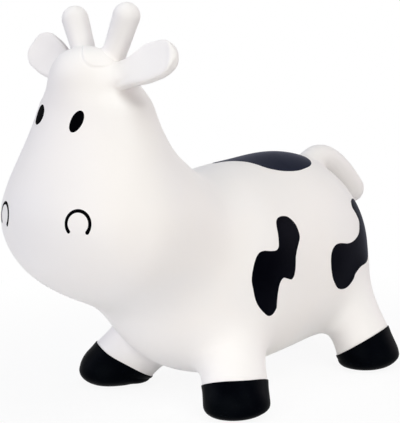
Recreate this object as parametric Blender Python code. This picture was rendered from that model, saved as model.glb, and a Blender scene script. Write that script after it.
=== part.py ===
# An inflatable cow hopper: one soft moulded skin with air inside, divided where it flexes and
# where its paint begins, with painted marks and an air valve under the belly.
# Metres, +Z up. The head faces -Y, +X is the cow's left, and the soles stand on Z = 0.

import math

import bmesh
import bpy
import numpy as np
from mathutils import Vector

MM = 0.001

# The skin and its gaps
SKIN_WALL = 2.5 * MM
SEAM_GAP = 0.4 * MM
SOCKET_GAP = 0.5 * MM
PAINT_GAP = 0.7 * MM
PAINT_FILM = 0.6 * MM
BLEND_STEP = 0.2 * MM
CAST_REACH = 260 * MM
BALL_OPENING = math.radians(50)

# Torso forms: centre, half sizes across X, Y and Z, and the pitch of the long axis
RUMP_CENTRE = (0.0, 139.5 * MM, 161.5 * MM)
RUMP_RADII = (89.5 * MM, 126 * MM, 106.5 * MM)
RUMP_PITCH = math.radians(-43)
BELLY_CENTRE = (0.0, 8 * MM, 126 * MM)
BELLY_RADII = (92.5 * MM, 151 * MM, 100 * MM)
CHEST_CENTRE = (0.0, -17 * MM, 173.5 * MM)
CHEST_RADII = (90.5 * MM, 89 * MM, 56 * MM)
CHEST_PITCH = math.radians(58)
TORSO_BLEND = 138 * MM

# Head forms: the muzzle, the tapering column above it, the throat and the crown
MUZZLE_CENTRE = (0.0, -225.5 * MM, 247.5 * MM)
MUZZLE_RADII = (66.5 * MM, 26.5 * MM, 42.5 * MM)
MUZZLE_PITCH = math.radians(-12)
CHEEK_CENTRE = (0.0, -195.5 * MM, 241.5 * MM)
CHEEK_RADIUS = 82.5 * MM
BROW_CENTRE = (0.0, -185 * MM, 359.5 * MM)
BROW_RADIUS = 57.5 * MM
HEAD_WIDTH_SHARE = 1.286
THROAT_CENTRE = (0.0, -118.5 * MM, 217.5 * MM)
THROAT_RADII = (87 * MM, 74 * MM, 79.5 * MM)
CROWN_CENTRE = (0.0, -199.5 * MM, 406 * MM)
CROWN_RADII = (38 * MM, 36 * MM, 32 * MM)
HEAD_BLEND = 106 * MM
CROWN_BLEND = 37 * MM
NECK_BLEND = 100.5 * MM

# The centre line of the skin's sections: level through the torso, an arc round a line
# above the nape, then straight up the head
NAPE_Y = -57 * MM
NAPE_Z = 302 * MM
NAPE_RADIUS = 142 * MM
RUMP_END = 130 * MM
HEAD_TOP = 380 * MM
NECK_SEAM_ANGLE = math.radians(36)
SKIN_SEGMENTS = 28
SOCKET_SEGMENTS = 28
TORSO_SECTIONS = 9
NECK_SECTIONS = 4
MUZZLE_SECTIONS = 6
HEAD_SECTIONS = 4
CAP_SECTIONS = 4

# Legs: the hip and the foot are the centres of the balls that the leg tapers between.
# The pivot is how far down from the hip the leg turns, and the paint line crosses the
# leg's axis at a share of its length, square to the given direction.
LEG_SEGMENTS = 18
HOOF_FAN_SHARES = (0.0, 0.35, 0.7, 1.0)
HOOF_ROUNDING = 9 * MM
SOLE_WALL = 4 * MM
FRONT_HIP = (60 * MM, -34.5 * MM, 82.5 * MM)
FRONT_FOOT = (108.5 * MM, -78.5 * MM, 12.5 * MM)
FRONT_HIP_RADIUS = 36.5 * MM
FRONT_FOOT_RADIUS = 41.5 * MM
FRONT_PIVOT_DEPTH = 18 * MM
FRONT_BALL_RADIUS = 46.5 * MM
REAR_HIP = (53.5 * MM, 184.5 * MM, 109.5 * MM)
REAR_FOOT = (96.5 * MM, 184.5 * MM, 12.5 * MM)
REAR_HIP_RADIUS = 28 * MM
REAR_FOOT_RADIUS = 39.5 * MM
REAR_PIVOT_DEPTH = 42 * MM
REAR_BALL_RADIUS = 38.5 * MM
PAINT_LINE_SHARES = {"front_left": 0.70, "front_right": 0.73, "rear_left": 0.79, "rear_right": 0.79}
PAINT_FACINGS = {
    "front_left": (-0.28, 0.20, 0.94),
    "front_right": (-0.30, 0.47, 0.83),
    "rear_left": (-0.49, -0.18, 0.85),
    "rear_right": (-0.49, -0.18, 0.85),
}

# Horns: a ball root, then a stalk that swells a little to a round tip
HORN_ROOT = (24.5 * MM, -175.8 * MM, 427.5 * MM)
HORN_TIP = (43 * MM, -173 * MM, 468.5 * MM)
HORN_BALL_RADIUS = 14.4 * MM
HORN_STALK_RADIUS = 13.6 * MM
HORN_TIP_RADIUS = 15.5 * MM
HORN_SEGMENTS = 14

# Ears: a knuckle that is round about the hinge, then a flat paddle
EAR_ROOT = (49.5 * MM, -180.8 * MM, 405.8 * MM)
EAR_TIP = (120 * MM, -172 * MM, 434 * MM)
EAR_ROOT_WIDTH = 29 * MM
EAR_ROOT_THICKNESS = 22 * MM
EAR_WIDTH = 41 * MM
EAR_THICKNESS = 19 * MM
EAR_TWIST = math.radians(-8)
EAR_KNUCKLE_SHARES = (-0.64, -0.3, 0.1, 0.45)
EAR_LENGTH_SHARES = (0.2, 0.4, 0.6)
EAR_END_SHARES = (0.0, 0.35, 0.7, 0.92)
EAR_WIDEST_SHARE = 0.5
EAR_SEGMENTS = 16

# Tail: a ball root, then a thick cord that arches back and down, clear of the rump
TAIL_ROOT = (0.0, 183 * MM, 257 * MM)
TAIL_CREST = (0.0, 216.5 * MM, 283 * MM)
TAIL_TIP = (0.0, 266.9 * MM, 216.5 * MM)
TAIL_BALL_RADIUS = 17.5 * MM
TAIL_ROOT_RADIUS = 15.5 * MM
TAIL_TIP_RADIUS = 19 * MM
TAIL_SEGMENTS = 16
TAIL_CORD_SHARES = (0.15, 1.0)
TAIL_BED_GAP = 1.2 * MM
TAIL_BED_SHARES = (0.1, 0.6)

# Valve: a flanged bush in the belly with a tapered plug
VALVE_Y = 40 * MM
VALVE_HOLE_RADIUS = 5.5 * MM
VALVE_FLANGE_RADIUS = 11 * MM
VALVE_FLANGE_THICKNESS = 2 * MM
VALVE_BUSH_LENGTH = 12 * MM
VALVE_BORE_RADIUS = 3.4 * MM
VALVE_FIT_GAP = 0.3 * MM
PLUG_HEAD_RADIUS = 7 * MM
PLUG_HEAD_THICKNESS = 2.5 * MM
PLUG_STEM_LENGTH = 11 * MM
PLUG_TIP_SHARE = 0.85
VALVE_SEGMENTS = 24

# Painted marks. Each lies on the skin under a centre point, drawn as seen square on from
# a turn about the vertical and a rise above level. A patch is a row of paired edge points,
# across and up, in shares of its size.
FLANK_PATCH_SIZE = 98 * MM
FLANK_EDGE_SHARES = (
    ((0.15, 0.535), (0.25, 0.54)), ((0.09, 0.50), (0.36, 0.505)), ((0.06, 0.45), (0.45, 0.42)),
    ((0.04, 0.36), (0.50, 0.31)), ((0.015, 0.27), (0.485, 0.24)), ((-0.02, 0.21), (0.43, 0.18)),
    ((-0.07, 0.18), (0.39, 0.145)), ((-0.16, 0.18), (0.36, 0.09)), ((-0.26, 0.20), (0.325, 0.03)),
    ((-0.33, 0.195), (0.305, -0.03)), ((-0.40, 0.16), (0.285, -0.12)), ((-0.46, 0.07), (0.27, -0.185)),
    ((-0.495, -0.045), (0.235, -0.23)), ((-0.50, -0.155), (0.16, -0.225)), ((-0.485, -0.245), (0.05, -0.18)),
    ((-0.46, -0.32), (-0.015, -0.18)), ((-0.425, -0.39), (-0.06, -0.23)), ((-0.38, -0.46), (-0.07, -0.325)),
    ((-0.315, -0.535), (-0.06, -0.44)), ((-0.245, -0.595), (-0.05, -0.54)), ((-0.17, -0.635), (-0.09, -0.61)),
)
THIGH_PATCH_SIZE = 115 * MM
THIGH_EDGE_SHARES = (
    ((0.16, 0.45), (0.26, 0.45)), ((0.125, 0.42), (0.33, 0.42)), ((0.14, 0.36), (0.405, 0.34)),
    ((0.18, 0.285), (0.42, 0.235)), ((0.19, 0.20), (0.395, 0.15)), ((0.135, 0.13), (0.39, 0.05)),
    ((0.05, 0.085), (0.30, -0.03)), ((-0.075, 0.06), (0.32, -0.165)), ((-0.19, 0.065), (0.39, -0.28)),
    ((-0.28, 0.09), (0.225, -0.31)), ((-0.375, 0.115), (0.01, -0.295)), ((-0.475, 0.13), (-0.07, -0.39)),
    ((-0.53, 0.10), (-0.165, -0.42)), ((-0.575, 0.035), (-0.295, -0.42)), ((-0.585, -0.06), (-0.415, -0.365)),
    ((-0.565, -0.18), (-0.505, -0.28)),
)
BACK_PATCH_SIZE = 140 * MM
BACK_EDGE_SHARES = (
    ((-0.60, 0.065), (-0.585, 0.115)), ((-0.50, 0.03), (-0.47, 0.17)), ((-0.415, -0.07), (-0.36, 0.215)),
    ((-0.33, -0.215), (-0.24, 0.24)), ((-0.215, -0.285), (-0.13, 0.25)), ((-0.03, -0.305), (0.0, 0.255)),
    ((0.145, -0.285), (0.13, 0.25)), ((0.255, -0.26), (0.24, 0.215)), ((0.33, -0.21), (0.315, 0.145)),
    ((0.38, -0.15), (0.37, 0.03)), ((0.40, -0.10), (0.40, -0.04)),
)
PATCH_COLUMN_WIDTH = 12 * MM
MARK_COLUMNS = 5
MARK_STANDOFF = 120 * MM
PATCHES = {
    "patch_back": (BACK_EDGE_SHARES, BACK_PATCH_SIZE, (5.5 * MM, 102 * MM, 270.5 * MM), 90, 90, 0),
    "patch_flank_left": (FLANK_EDGE_SHARES, FLANK_PATCH_SIZE, (105 * MM, 3 * MM, 168.5 * MM), 90, 0, 0),
    "patch_thigh_left": (THIGH_EDGE_SHARES, THIGH_PATCH_SIZE, (72.5 * MM, 182.5 * MM, 157 * MM), 125, 8, 0),
    "patch_flank_right": (FLANK_EDGE_SHARES, FLANK_PATCH_SIZE, (-105 * MM, -8 * MM, 160 * MM), -90, 0, 180),
    "patch_thigh_right": (BACK_EDGE_SHARES, FLANK_PATCH_SIZE, (-76 * MM, 158 * MM, 178 * MM), -112, 10, 64),
}
EYE_CENTRE = (33 * MM, -239.5 * MM, 361.5 * MM)
EYE_TURN = 25
EYE_RISE = 12
EYE_LEAN = -14
EYE_HALF_WIDTH = 8.2 * MM
EYE_HALF_HEIGHT = 13 * MM
NOSTRIL_CENTRE = (63.5 * MM, -273 * MM, 253.5 * MM)
NOSTRIL_TURN = 24
NOSTRIL_RADIUS = 15 * MM
NOSTRIL_STROKE = 4 * MM
NOSTRIL_SWEEP = (-50, 230)


def unit(vector):
    vector = np.asarray(vector, float)
    return vector / np.linalg.norm(vector)


def ellipsoid(points, centre, radii, pitch=0.0):
    # Signed distance, near enough, to an ellipsoid pitched about X
    offset = points - np.array(centre)
    along = offset[:, 1] * math.cos(pitch) + offset[:, 2] * math.sin(pitch)
    above = offset[:, 2] * math.cos(pitch) - offset[:, 1] * math.sin(pitch)
    local = np.stack([offset[:, 0], along, above], axis=1)
    scaled = np.linalg.norm(local / np.array(radii), axis=1)
    slope = np.linalg.norm(local / np.square(radii), axis=1)
    return scaled * (scaled - 1) / np.maximum(slope, 1e-9)


def round_cone(points, start, end, start_radius, end_radius):
    # Signed distance to the hull of two balls
    start = np.array(start)
    line = np.array(end) - start
    length_squared = line @ line
    drop = start_radius - end_radius
    lean = length_squared - drop * drop
    offset = points - start
    along = offset @ line
    beyond = along - length_squared
    across = np.sum((offset * length_squared - along[:, None] * line) ** 2, axis=1)
    side_key = math.copysign(1, drop) * drop * drop * across
    along_square = along * along * length_squared
    beyond_square = beyond * beyond * length_squared
    near_end = np.sign(beyond) * lean * beyond_square > side_key
    near_start = np.sign(along) * lean * along_square < side_key
    side = (np.sqrt(across * lean / length_squared) + along * drop) / length_squared - start_radius
    end_ball = np.sqrt(across + beyond_square) / length_squared - end_radius
    start_ball = np.sqrt(across + along_square) / length_squared - start_radius
    return np.where(near_end, end_ball, np.where(near_start, start_ball, side))


def smooth_union(first, second, reach):
    # The nearer of two distances, rounded where they are within reach of each other
    overlap = np.maximum(reach - np.abs(first - second), 0) / reach
    return np.minimum(first, second) - overlap ** 3 * reach / 6


def torso_field(points):
    rump = ellipsoid(points, RUMP_CENTRE, RUMP_RADII, RUMP_PITCH)
    belly = ellipsoid(points, BELLY_CENTRE, BELLY_RADII)
    chest = ellipsoid(points, CHEST_CENTRE, CHEST_RADII, CHEST_PITCH)
    return smooth_union(smooth_union(rump, belly, TORSO_BLEND), chest, TORSO_BLEND)


def head_field(points):
    muzzle = ellipsoid(points, MUZZLE_CENTRE, MUZZLE_RADII, MUZZLE_PITCH)
    narrowed = points / np.array((HEAD_WIDTH_SHARE, 1, 1))
    column = round_cone(narrowed, CHEEK_CENTRE, BROW_CENTRE, CHEEK_RADIUS, BROW_RADIUS)
    throat = ellipsoid(points, THROAT_CENTRE, THROAT_RADII)
    crown = ellipsoid(points, CROWN_CENTRE, CROWN_RADII)
    head = smooth_union(muzzle, column, HEAD_BLEND)
    head = smooth_union(head, crown, CROWN_BLEND)
    return smooth_union(head, throat, TORSO_BLEND)


def skin_field(points):
    return smooth_union(torso_field(points), head_field(points), NECK_BLEND)


def field_facing(field, points):
    # Unit outward directions of a field at points
    slopes = []
    for axis in np.eye(3):
        step = axis * BLEND_STEP
        slopes.append(field(points + step) - field(points - step))
    slopes = np.stack(slopes, axis=1)
    return slopes / np.linalg.norm(slopes, axis=1)[:, None]


def first_crossing(field, origins, directions, reach=CAST_REACH, steps=96):
    # Where rays from the origins first cross the field's surface
    origins = np.broadcast_to(origins, directions.shape)
    distances = np.linspace(0, reach, steps)
    samples = origins[:, None, :] + directions[:, None, :] * distances[None, :, None]
    signs = field(samples.reshape(-1, 3)).reshape(len(directions), steps) > 0
    crossed = (signs != signs[:, :1]).argmax(axis=1)
    low = distances[np.maximum(crossed - 1, 0)]
    high = distances[crossed]
    start = signs[:, 0]
    for _ in range(24):
        middle = (low + high) / 2
        beyond = (field(origins + directions * middle[:, None]) > 0) != start
        high = np.where(beyond, middle, high)
        low = np.where(beyond, low, middle)
    return origins + directions * high[:, None]


def ring_directions(normal, side, count, tilt=0.0):
    # Directions fanned round a normal, leaning towards it by the tilt
    normal = unit(normal)
    first = unit(np.array(side) - normal * (np.array(side) @ normal))
    second = np.cross(normal, first)
    turn = np.linspace(0, 2 * math.pi, count, endpoint=False)[:, None]
    flat = np.cos(turn) * first + np.sin(turn) * second
    return math.cos(tilt) * flat + math.sin(tilt) * normal


def shell_rings(field, sections, side, count, wall=SKIN_WALL):
    # Outer and inner rings of a wall, one pair for each (centre, normal, tilt)
    outer = []
    inner = []
    for centre, normal, tilt in sections:
        ring = first_crossing(field, np.array(centre), ring_directions(normal, side, count, tilt))
        outer.append(ring)
        inner.append(ring - field_facing(field, ring) * wall)
    return outer, inner


def join_rings(mesh, rings):
    # Quads between rings of BMesh vertices that close on themselves
    for lower, upper in zip(rings, rings[1:]):
        count = len(lower)
        for index in range(count):
            following = (index + 1) % count
            mesh.faces.new((lower[index], lower[following], upper[following], upper[index]))


def ring_vertices(mesh, rings):
    return [[mesh.verts.new(point) for point in ring] for ring in rings]


def close_to_tip(mesh, ring, tip):
    vertex = mesh.verts.new(tip)
    for index, corner in enumerate(ring):
        mesh.faces.new((corner, ring[(index + 1) % len(ring)], vertex))


def add_object(name, mesh, material, origin=(0.0, 0.0, 0.0), smooth=True):
    # Faces are turned outward and the object's origin is moved to its joint
    mesh.normal_update()
    bmesh.ops.recalc_face_normals(mesh, faces=mesh.faces)
    bmesh.ops.translate(mesh, verts=mesh.verts, vec=-Vector(origin))
    data = bpy.data.meshes.new(name)
    mesh.to_mesh(data)
    mesh.free()
    if smooth:
        data.shade_smooth()
        data.set_sharp_from_angle(angle=math.radians(40))
    if material:
        data.materials.append(material)
    item = bpy.data.objects.new(name, data)
    item.location = origin
    bpy.context.collection.objects.link(item)
    return item


def walled_piece(name, outer, inner, material, tips=None, origin=(0.0, 0.0, 0.0)):
    # A wall between outer and inner rings, open at the first ring; the far end is open too,
    # or closed by an outer and an inner tip
    mesh = bmesh.new()
    outer_rings = ring_vertices(mesh, outer)
    inner_rings = ring_vertices(mesh, inner)
    join_rings(mesh, outer_rings)
    join_rings(mesh, inner_rings)
    join_rings(mesh, [outer_rings[0], inner_rings[0]])
    if tips is None:
        join_rings(mesh, [outer_rings[-1], inner_rings[-1]])
    else:
        close_to_tip(mesh, outer_rings[-1], tips[0])
        close_to_tip(mesh, inner_rings[-1], tips[1])
    return add_object(name, mesh, material, origin)


def painted(name, colour, roughness):
    material = bpy.data.materials.new(name)
    material.use_nodes = True
    shader = material.node_tree.nodes["Principled BSDF"]
    shader.inputs["Base Color"].default_value = (*colour, 1)
    shader.inputs["Roughness"].default_value = roughness
    shader.inputs["Metallic"].default_value = 0
    return material


def cutter(name, mesh):
    item = add_object(name, mesh, None, smooth=False)
    item.display_type = "WIRE"
    item.hide_render = True
    return item


def cut(item, tool):
    modifier = item.modifiers.new("cut_" + tool.name, "BOOLEAN")
    modifier.operation = "DIFFERENCE"
    modifier.solver = "EXACT"
    modifier.object = tool
    return modifier


def ball_cutter(name, centre, radii, axes):
    # A ball or spheroid whose flats stay outside the given half sizes
    mesh = bmesh.new()
    flat_share = math.cos(math.pi / SOCKET_SEGMENTS) ** 2
    bmesh.ops.create_uvsphere(mesh, u_segments=SOCKET_SEGMENTS, v_segments=SOCKET_SEGMENTS // 2, radius=1)
    frame = np.array([unit(axis) for axis in axes])
    for vertex in mesh.verts:
        local = np.array(vertex.co) * np.array(radii) / flat_share
        vertex.co = Vector(local @ frame + np.array(centre))
    return cutter(name, mesh)


def nape_section(angle, shift=0.0, tilt=0.0):
    # A section on the arc round the nape line, turned by the angle from upright
    normal = np.array((0.0, -math.cos(angle), math.sin(angle)))
    down = np.array((0.0, -math.sin(angle), -math.cos(angle)))
    centre = np.array((0.0, NAPE_Y, NAPE_Z)) + down * NAPE_RADIUS + normal * shift
    return centre, normal, tilt


def torso_sections():
    # From the neck seam back through the torso to the rump's cap
    sections = [nape_section(NECK_SEAM_ANGLE, -SEAM_GAP / 2)]
    for step in range(1, NECK_SECTIONS + 1):
        sections.append(nape_section(NECK_SEAM_ANGLE * (1 - step / NECK_SECTIONS)))
    ahead = np.array((0.0, -1.0, 0.0))
    level = NAPE_Z - NAPE_RADIUS
    for step in range(1, TORSO_SECTIONS + 1):
        place = NAPE_Y + (RUMP_END - NAPE_Y) * step / TORSO_SECTIONS
        sections.append((np.array((0.0, place, level)), ahead, 0.0))
    for step in range(1, CAP_SECTIONS + 1):
        tilt = -math.pi / 2 * step / (CAP_SECTIONS + 1)
        sections.append((sections[-1][0], ahead, tilt))
    return sections


def head_sections():
    # From the neck seam round the muzzle and up the head to the crown's cap
    sections = [nape_section(NECK_SEAM_ANGLE, SEAM_GAP / 2)]
    rest = math.pi / 2 - NECK_SEAM_ANGLE
    for step in range(1, MUZZLE_SECTIONS + 1):
        sections.append(nape_section(NECK_SEAM_ANGLE + rest * step / MUZZLE_SECTIONS))
    base = sections[-1][0]
    top = np.array((0.0, CROWN_CENTRE[1], HEAD_TOP))
    upward = np.array((0.0, 0.0, 1.0))
    for step in range(1, HEAD_SECTIONS + 1):
        sections.append((base + (top - base) * step / HEAD_SECTIONS, upward, 0.0))
    for step in range(1, CAP_SECTIONS + 1):
        sections.append((top, upward, math.pi / 2 * step / (CAP_SECTIONS + 1)))
    return sections


def skin_piece(name, sections, material):
    # A shell on the blended skin, open at the neck seam and closed at its far pole
    outer, inner = shell_rings(skin_field, sections, (1.0, 0.0, 0.0), SKIN_SEGMENTS)
    centre, normal, tilt = sections[-1]
    pole = first_crossing(skin_field, centre, (unit(normal) * math.copysign(1, tilt))[None])
    hollow = pole - field_facing(skin_field, pole) * SKIN_WALL
    return walled_piece(name, outer, inner, material, (pole[0], hollow[0]))


def leg_plan(name):
    # One leg's sizes, mirrored for the right, and the places worked out from them
    end, hand = name.split("_")
    if end == "front":
        hip, foot = FRONT_HIP, FRONT_FOOT
        hip_radius, foot_radius = FRONT_HIP_RADIUS, FRONT_FOOT_RADIUS
        depth, ball = FRONT_PIVOT_DEPTH, FRONT_BALL_RADIUS
    else:
        hip, foot = REAR_HIP, REAR_FOOT
        hip_radius, foot_radius = REAR_HIP_RADIUS, REAR_FOOT_RADIUS
        depth, ball = REAR_PIVOT_DEPTH, REAR_BALL_RADIUS
    flip = np.array((1.0 if hand == "left" else -1.0, 1.0, 1.0))
    hip = np.array(hip) * flip
    foot = np.array(foot) * flip
    line = foot - hip
    length = np.linalg.norm(line)
    axis = line / length
    pivot = hip + axis * depth
    stalk = hip_radius + (foot_radius - hip_radius) * depth / length
    paint = hip + line * PAINT_LINE_SHARES[name]
    down = -unit(PAINT_FACINGS[name]) * flip

    def field(points):
        cone = round_cone(points, pivot, foot, stalk, foot_radius)
        return np.minimum(np.linalg.norm(points - pivot, axis=1) - ball, cone)

    return {"pivot": pivot, "axis": axis, "foot": foot, "ball": ball, "stalk": stalk,
            "paint": paint, "down": down, "field": field}


def ball_tilts(ball, stalk, count):
    # Tilts of the rings over a root ball, from its opening to where the stalk leaves it
    return np.linspace(BALL_OPENING - math.pi / 2, math.acos(stalk / ball), count)


def ball_sections(centre, axis, ball, stalk, count):
    # Sections over a root ball, and the point on the axis where the stalk leaves it
    tilts = ball_tilts(ball, stalk, count)
    return [(centre, axis, tilt) for tilt in tilts], centre + axis * ball * math.sin(tilts[-1])


def leg_piece(name, material):
    # A tube from the open ball root to the paint line
    plan = leg_plan(name)
    sections, base = ball_sections(plan["pivot"], plan["axis"], plan["ball"], plan["stalk"], 6)
    end = plan["paint"] - plan["down"] * SEAM_GAP / 2
    for share in (0.5, 1.0):
        normal = plan["axis"] * (1 - share) + plan["down"] * share
        sections.append((base + (end - base) * share, normal, 0.0))
    outer, inner = shell_rings(plan["field"], sections, (1.0, 0.0, 0.0), LEG_SEGMENTS)
    return walled_piece("leg_" + name, outer, inner, material, origin=plan["pivot"])


def rounded_sole(ring, centre, turn):
    # A level ring drawn in by the rounding of the sole's edge, at a turn up the rounding
    level = np.array(ring)
    level[:, 2] = HOOF_ROUNDING * (1 - math.sin(turn))
    away = level[:, :2] - centre[:2]
    reach = np.linalg.norm(away, axis=1)[:, None]
    level[:, :2] -= away / reach * HOOF_ROUNDING * (1 - math.cos(turn))
    return level


def hoof_piece(name, material):
    # A cup from the paint line to a flat sole; its sections fan from one to the other
    plan = leg_plan(name)
    start = plan["paint"] + plan["down"] * SEAM_GAP / 2
    end = np.array((plan["foot"][0], plan["foot"][1], HOOF_ROUNDING))
    downward = np.array((0.0, 0.0, -1.0))
    sections = []
    for share in HOOF_FAN_SHARES:
        normal = plan["down"] * (1 - share) + downward * share
        sections.append((start + (end - start) * share, normal, 0.0))
    outer, inner = shell_rings(plan["field"], sections, (1.0, 0.0, 0.0), LEG_SEGMENTS)
    ring = outer[-1]
    for turn in (math.pi / 6, math.pi / 3, math.pi / 2):
        outer.append(rounded_sole(ring, end, turn))
    floor = rounded_sole(inner[-1], end, math.pi / 3)
    floor[:, 2] = SOLE_WALL
    inner.append(floor)
    tips = (end * (1, 1, 0), end * (1, 1, 0) + np.array((0.0, 0.0, SOLE_WALL)))
    return walled_piece("hoof_" + name, outer, inner, material, tips, origin=plan["pivot"])


def horn_piece(hand, material):
    # A ball root and a stalk with a round tip
    flip = np.array((1.0 if hand == "left" else -1.0, 1.0, 1.0))
    root = np.array(HORN_ROOT) * flip
    tip = np.array(HORN_TIP) * flip
    axis = unit(tip - root)

    def field(points):
        cone = round_cone(points, root, tip, HORN_STALK_RADIUS, HORN_TIP_RADIUS)
        return np.minimum(np.linalg.norm(points - root, axis=1) - HORN_BALL_RADIUS, cone)

    sections, base = ball_sections(root, axis, HORN_BALL_RADIUS, HORN_STALK_RADIUS, 4)
    for share in (1 / 3, 2 / 3, 1.0):
        sections.append((base + (tip - base) * share, axis, 0.0))
    for tilt in (math.pi / 6, math.pi / 3):
        sections.append((tip, axis, tilt))
    outer, inner = shell_rings(field, sections, (1.0, 0.0, 0.0), HORN_SEGMENTS)
    tips = (tip + axis * HORN_TIP_RADIUS, tip + axis * (HORN_TIP_RADIUS - SKIN_WALL))
    return walled_piece("horn_" + hand, outer, inner, material, tips, origin=root)


def ear_frame(hand):
    # The ear's root, its length direction, its width direction and its face direction
    flip = np.array((1.0 if hand == "left" else -1.0, 1.0, 1.0))
    root = np.array(EAR_ROOT) * flip
    along = unit(np.array(EAR_TIP) * flip - root)
    face = np.array((0.0, -1.0, 0.0))
    face = unit(face - along * (face @ along))
    width = np.cross(along, face)
    twist = EAR_TWIST * flip[0]
    face, width = (face * math.cos(twist) + width * math.sin(twist),
                   width * math.cos(twist) - face * math.sin(twist))
    return root, along, width, face


def ear_piece(hand, material):
    # A knuckle round the hinge, then a paddle that widens, thins and ends round
    root, along, width, face = ear_frame(hand)
    length = math.dist(EAR_ROOT, EAR_TIP)
    half = EAR_ROOT_WIDTH / 2
    thick = EAR_ROOT_THICKNESS / 2
    rings = []
    for share in EAR_KNUCKLE_SHARES:
        shrink = math.sqrt(1 - share * share)
        rings.append((share * thick, half * shrink, thick * shrink))
    leave, knuckle_half, knuckle_thick = rings[-1]
    cap = 1 - EAR_WIDTH / 2 / (length - leave)
    for share in (*EAR_LENGTH_SHARES, *(cap + (1 - cap) * end for end in EAR_END_SHARES)):
        rise = min(share / EAR_WIDEST_SHARE, 1.0)
        rise = rise * rise * (3 - 2 * rise)
        end = math.sqrt(1 - (max(share - cap, 0.0) / (1 - cap)) ** 2)
        rings.append((leave + (length - leave) * share,
                      (knuckle_half + (EAR_WIDTH / 2 - knuckle_half) * rise) * end,
                      (knuckle_thick + (EAR_THICKNESS / 2 - knuckle_thick) * rise) * end))
    turn = np.linspace(0, 2 * math.pi, EAR_SEGMENTS, endpoint=False)[:, None]

    def ring(distance, across, deep):
        return root + along * distance + np.cos(turn) * width * across + np.sin(turn) * face * deep

    outer = [ring(*row) for row in rings]
    inner = [ring(row[0], row[1] - SKIN_WALL, row[2] - SKIN_WALL) for row in rings[:-1]]
    tips = (root + along * length, root + along * (length - SKIN_WALL))
    return walled_piece("ear_" + hand, outer, inner, material, tips, origin=root)


def tail_place(share):
    # A point of the tail's centre line and the line's direction there
    root, crest, tip = (np.array(point) for point in (TAIL_ROOT, TAIL_CREST, TAIL_TIP))
    rest = 1 - share
    place = rest * rest * root + 2 * share * rest * crest + share * share * tip
    return place, unit(rest * (crest - root) + share * (tip - crest))


def tail_ring(share, radius, tilt=0.0):
    place, axis = tail_place(share)
    return place + ring_directions(axis, (1.0, 0.0, 0.0), TAIL_SEGMENTS, tilt) * radius


def tail_radius(share):
    return TAIL_ROOT_RADIUS + (TAIL_TIP_RADIUS - TAIL_ROOT_RADIUS) * share


def tail_piece(material):
    tilts = ball_tilts(TAIL_BALL_RADIUS, TAIL_ROOT_RADIUS, 5)
    rows = [(0.0, TAIL_BALL_RADIUS, tilt) for tilt in tilts]
    rows += [(share, tail_radius(share), 0.0) for share in np.linspace(*TAIL_CORD_SHARES, 7)]
    rows += [(1.0, TAIL_TIP_RADIUS, tilt) for tilt in (math.pi / 6, math.pi / 3)]
    outer = [tail_ring(share, radius, tilt) for share, radius, tilt in rows]
    inner = [tail_ring(share, radius - SKIN_WALL, tilt) for share, radius, tilt in rows]
    place, axis = tail_place(1.0)
    tips = (place + axis * TAIL_TIP_RADIUS, place + axis * (TAIL_TIP_RADIUS - SKIN_WALL))
    return walled_piece("tail", outer, inner, material, tips, origin=TAIL_ROOT)


def tail_bed_cutter():
    # The room that the tail's own form takes out of the rump where it lies along it
    mesh = bmesh.new()
    shares = np.linspace(*TAIL_BED_SHARES, 7)
    rings = ring_vertices(mesh, [tail_ring(share, tail_radius(share) + TAIL_BED_GAP) for share in shares])
    join_rings(mesh, rings)
    mesh.faces.new(rings[0])
    mesh.faces.new(rings[-1])
    return cutter("tail_bed", mesh)


def turned_piece(name, profile, centre, material, closed):
    # A profile of (radius, height) turned about the vertical through the centre
    mesh = bmesh.new()
    turn = np.linspace(0, 2 * math.pi, VALVE_SEGMENTS, endpoint=False)[:, None]
    across = np.hstack([np.cos(turn), np.sin(turn), np.zeros_like(turn)])
    upward = np.array((0.0, 0.0, 1.0))
    rings = ring_vertices(mesh, [centre + across * radius + upward * height for radius, height in profile])
    if closed:
        join_rings(mesh, rings + rings[:1])
    else:
        join_rings(mesh, rings)
        mesh.faces.new(rings[0])
        mesh.faces.new(rings[-1])
    return add_object(name, mesh, material, origin=centre)


def belly_place():
    # The valve's centre, level with the lowest skin under its flange
    starts = np.array([(0.0, VALVE_Y + reach, NAPE_Z - NAPE_RADIUS)
                       for reach in (-VALVE_FLANGE_RADIUS, 0.0, VALVE_FLANGE_RADIUS)])
    landed = first_crossing(skin_field, starts, np.tile((0.0, 0.0, -1.0), (len(starts), 1)))
    return np.array((0.0, VALVE_Y, landed[:, 2].min()))


def valve_pieces(seat_material, plug_material):
    centre = belly_place()
    bush = VALVE_HOLE_RADIUS - VALVE_FIT_GAP
    top = -VALVE_FIT_GAP
    bottom = top - VALVE_FLANGE_THICKNESS
    seat = [(VALVE_BORE_RADIUS, bottom), (VALVE_FLANGE_RADIUS, bottom), (VALVE_FLANGE_RADIUS, top),
            (bush, top), (bush, VALVE_BUSH_LENGTH), (VALVE_BORE_RADIUS, VALVE_BUSH_LENGTH)]
    turned_piece("valve_seat", seat, centre, seat_material, closed=True)
    stem = VALVE_BORE_RADIUS - VALVE_FIT_GAP
    head = bottom - VALVE_FIT_GAP
    plug = [(PLUG_HEAD_RADIUS, head - PLUG_HEAD_THICKNESS), (PLUG_HEAD_RADIUS, head), (stem, head),
            (stem * PLUG_TIP_SHARE, head + PLUG_STEM_LENGTH)]
    turned_piece("valve_plug", plug, centre, plug_material, closed=False)


def valve_hole_cutter():
    centre = belly_place()
    mesh = bmesh.new()
    depth = VALVE_BUSH_LENGTH * 2
    bmesh.ops.create_cone(mesh, cap_ends=True, segments=VALVE_SEGMENTS, radius1=VALVE_HOLE_RADIUS,
                          radius2=VALVE_HOLE_RADIUS, depth=depth)
    bmesh.ops.translate(mesh, verts=mesh.verts, vec=Vector(centre))
    return cutter("valve_hole", mesh)


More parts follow.
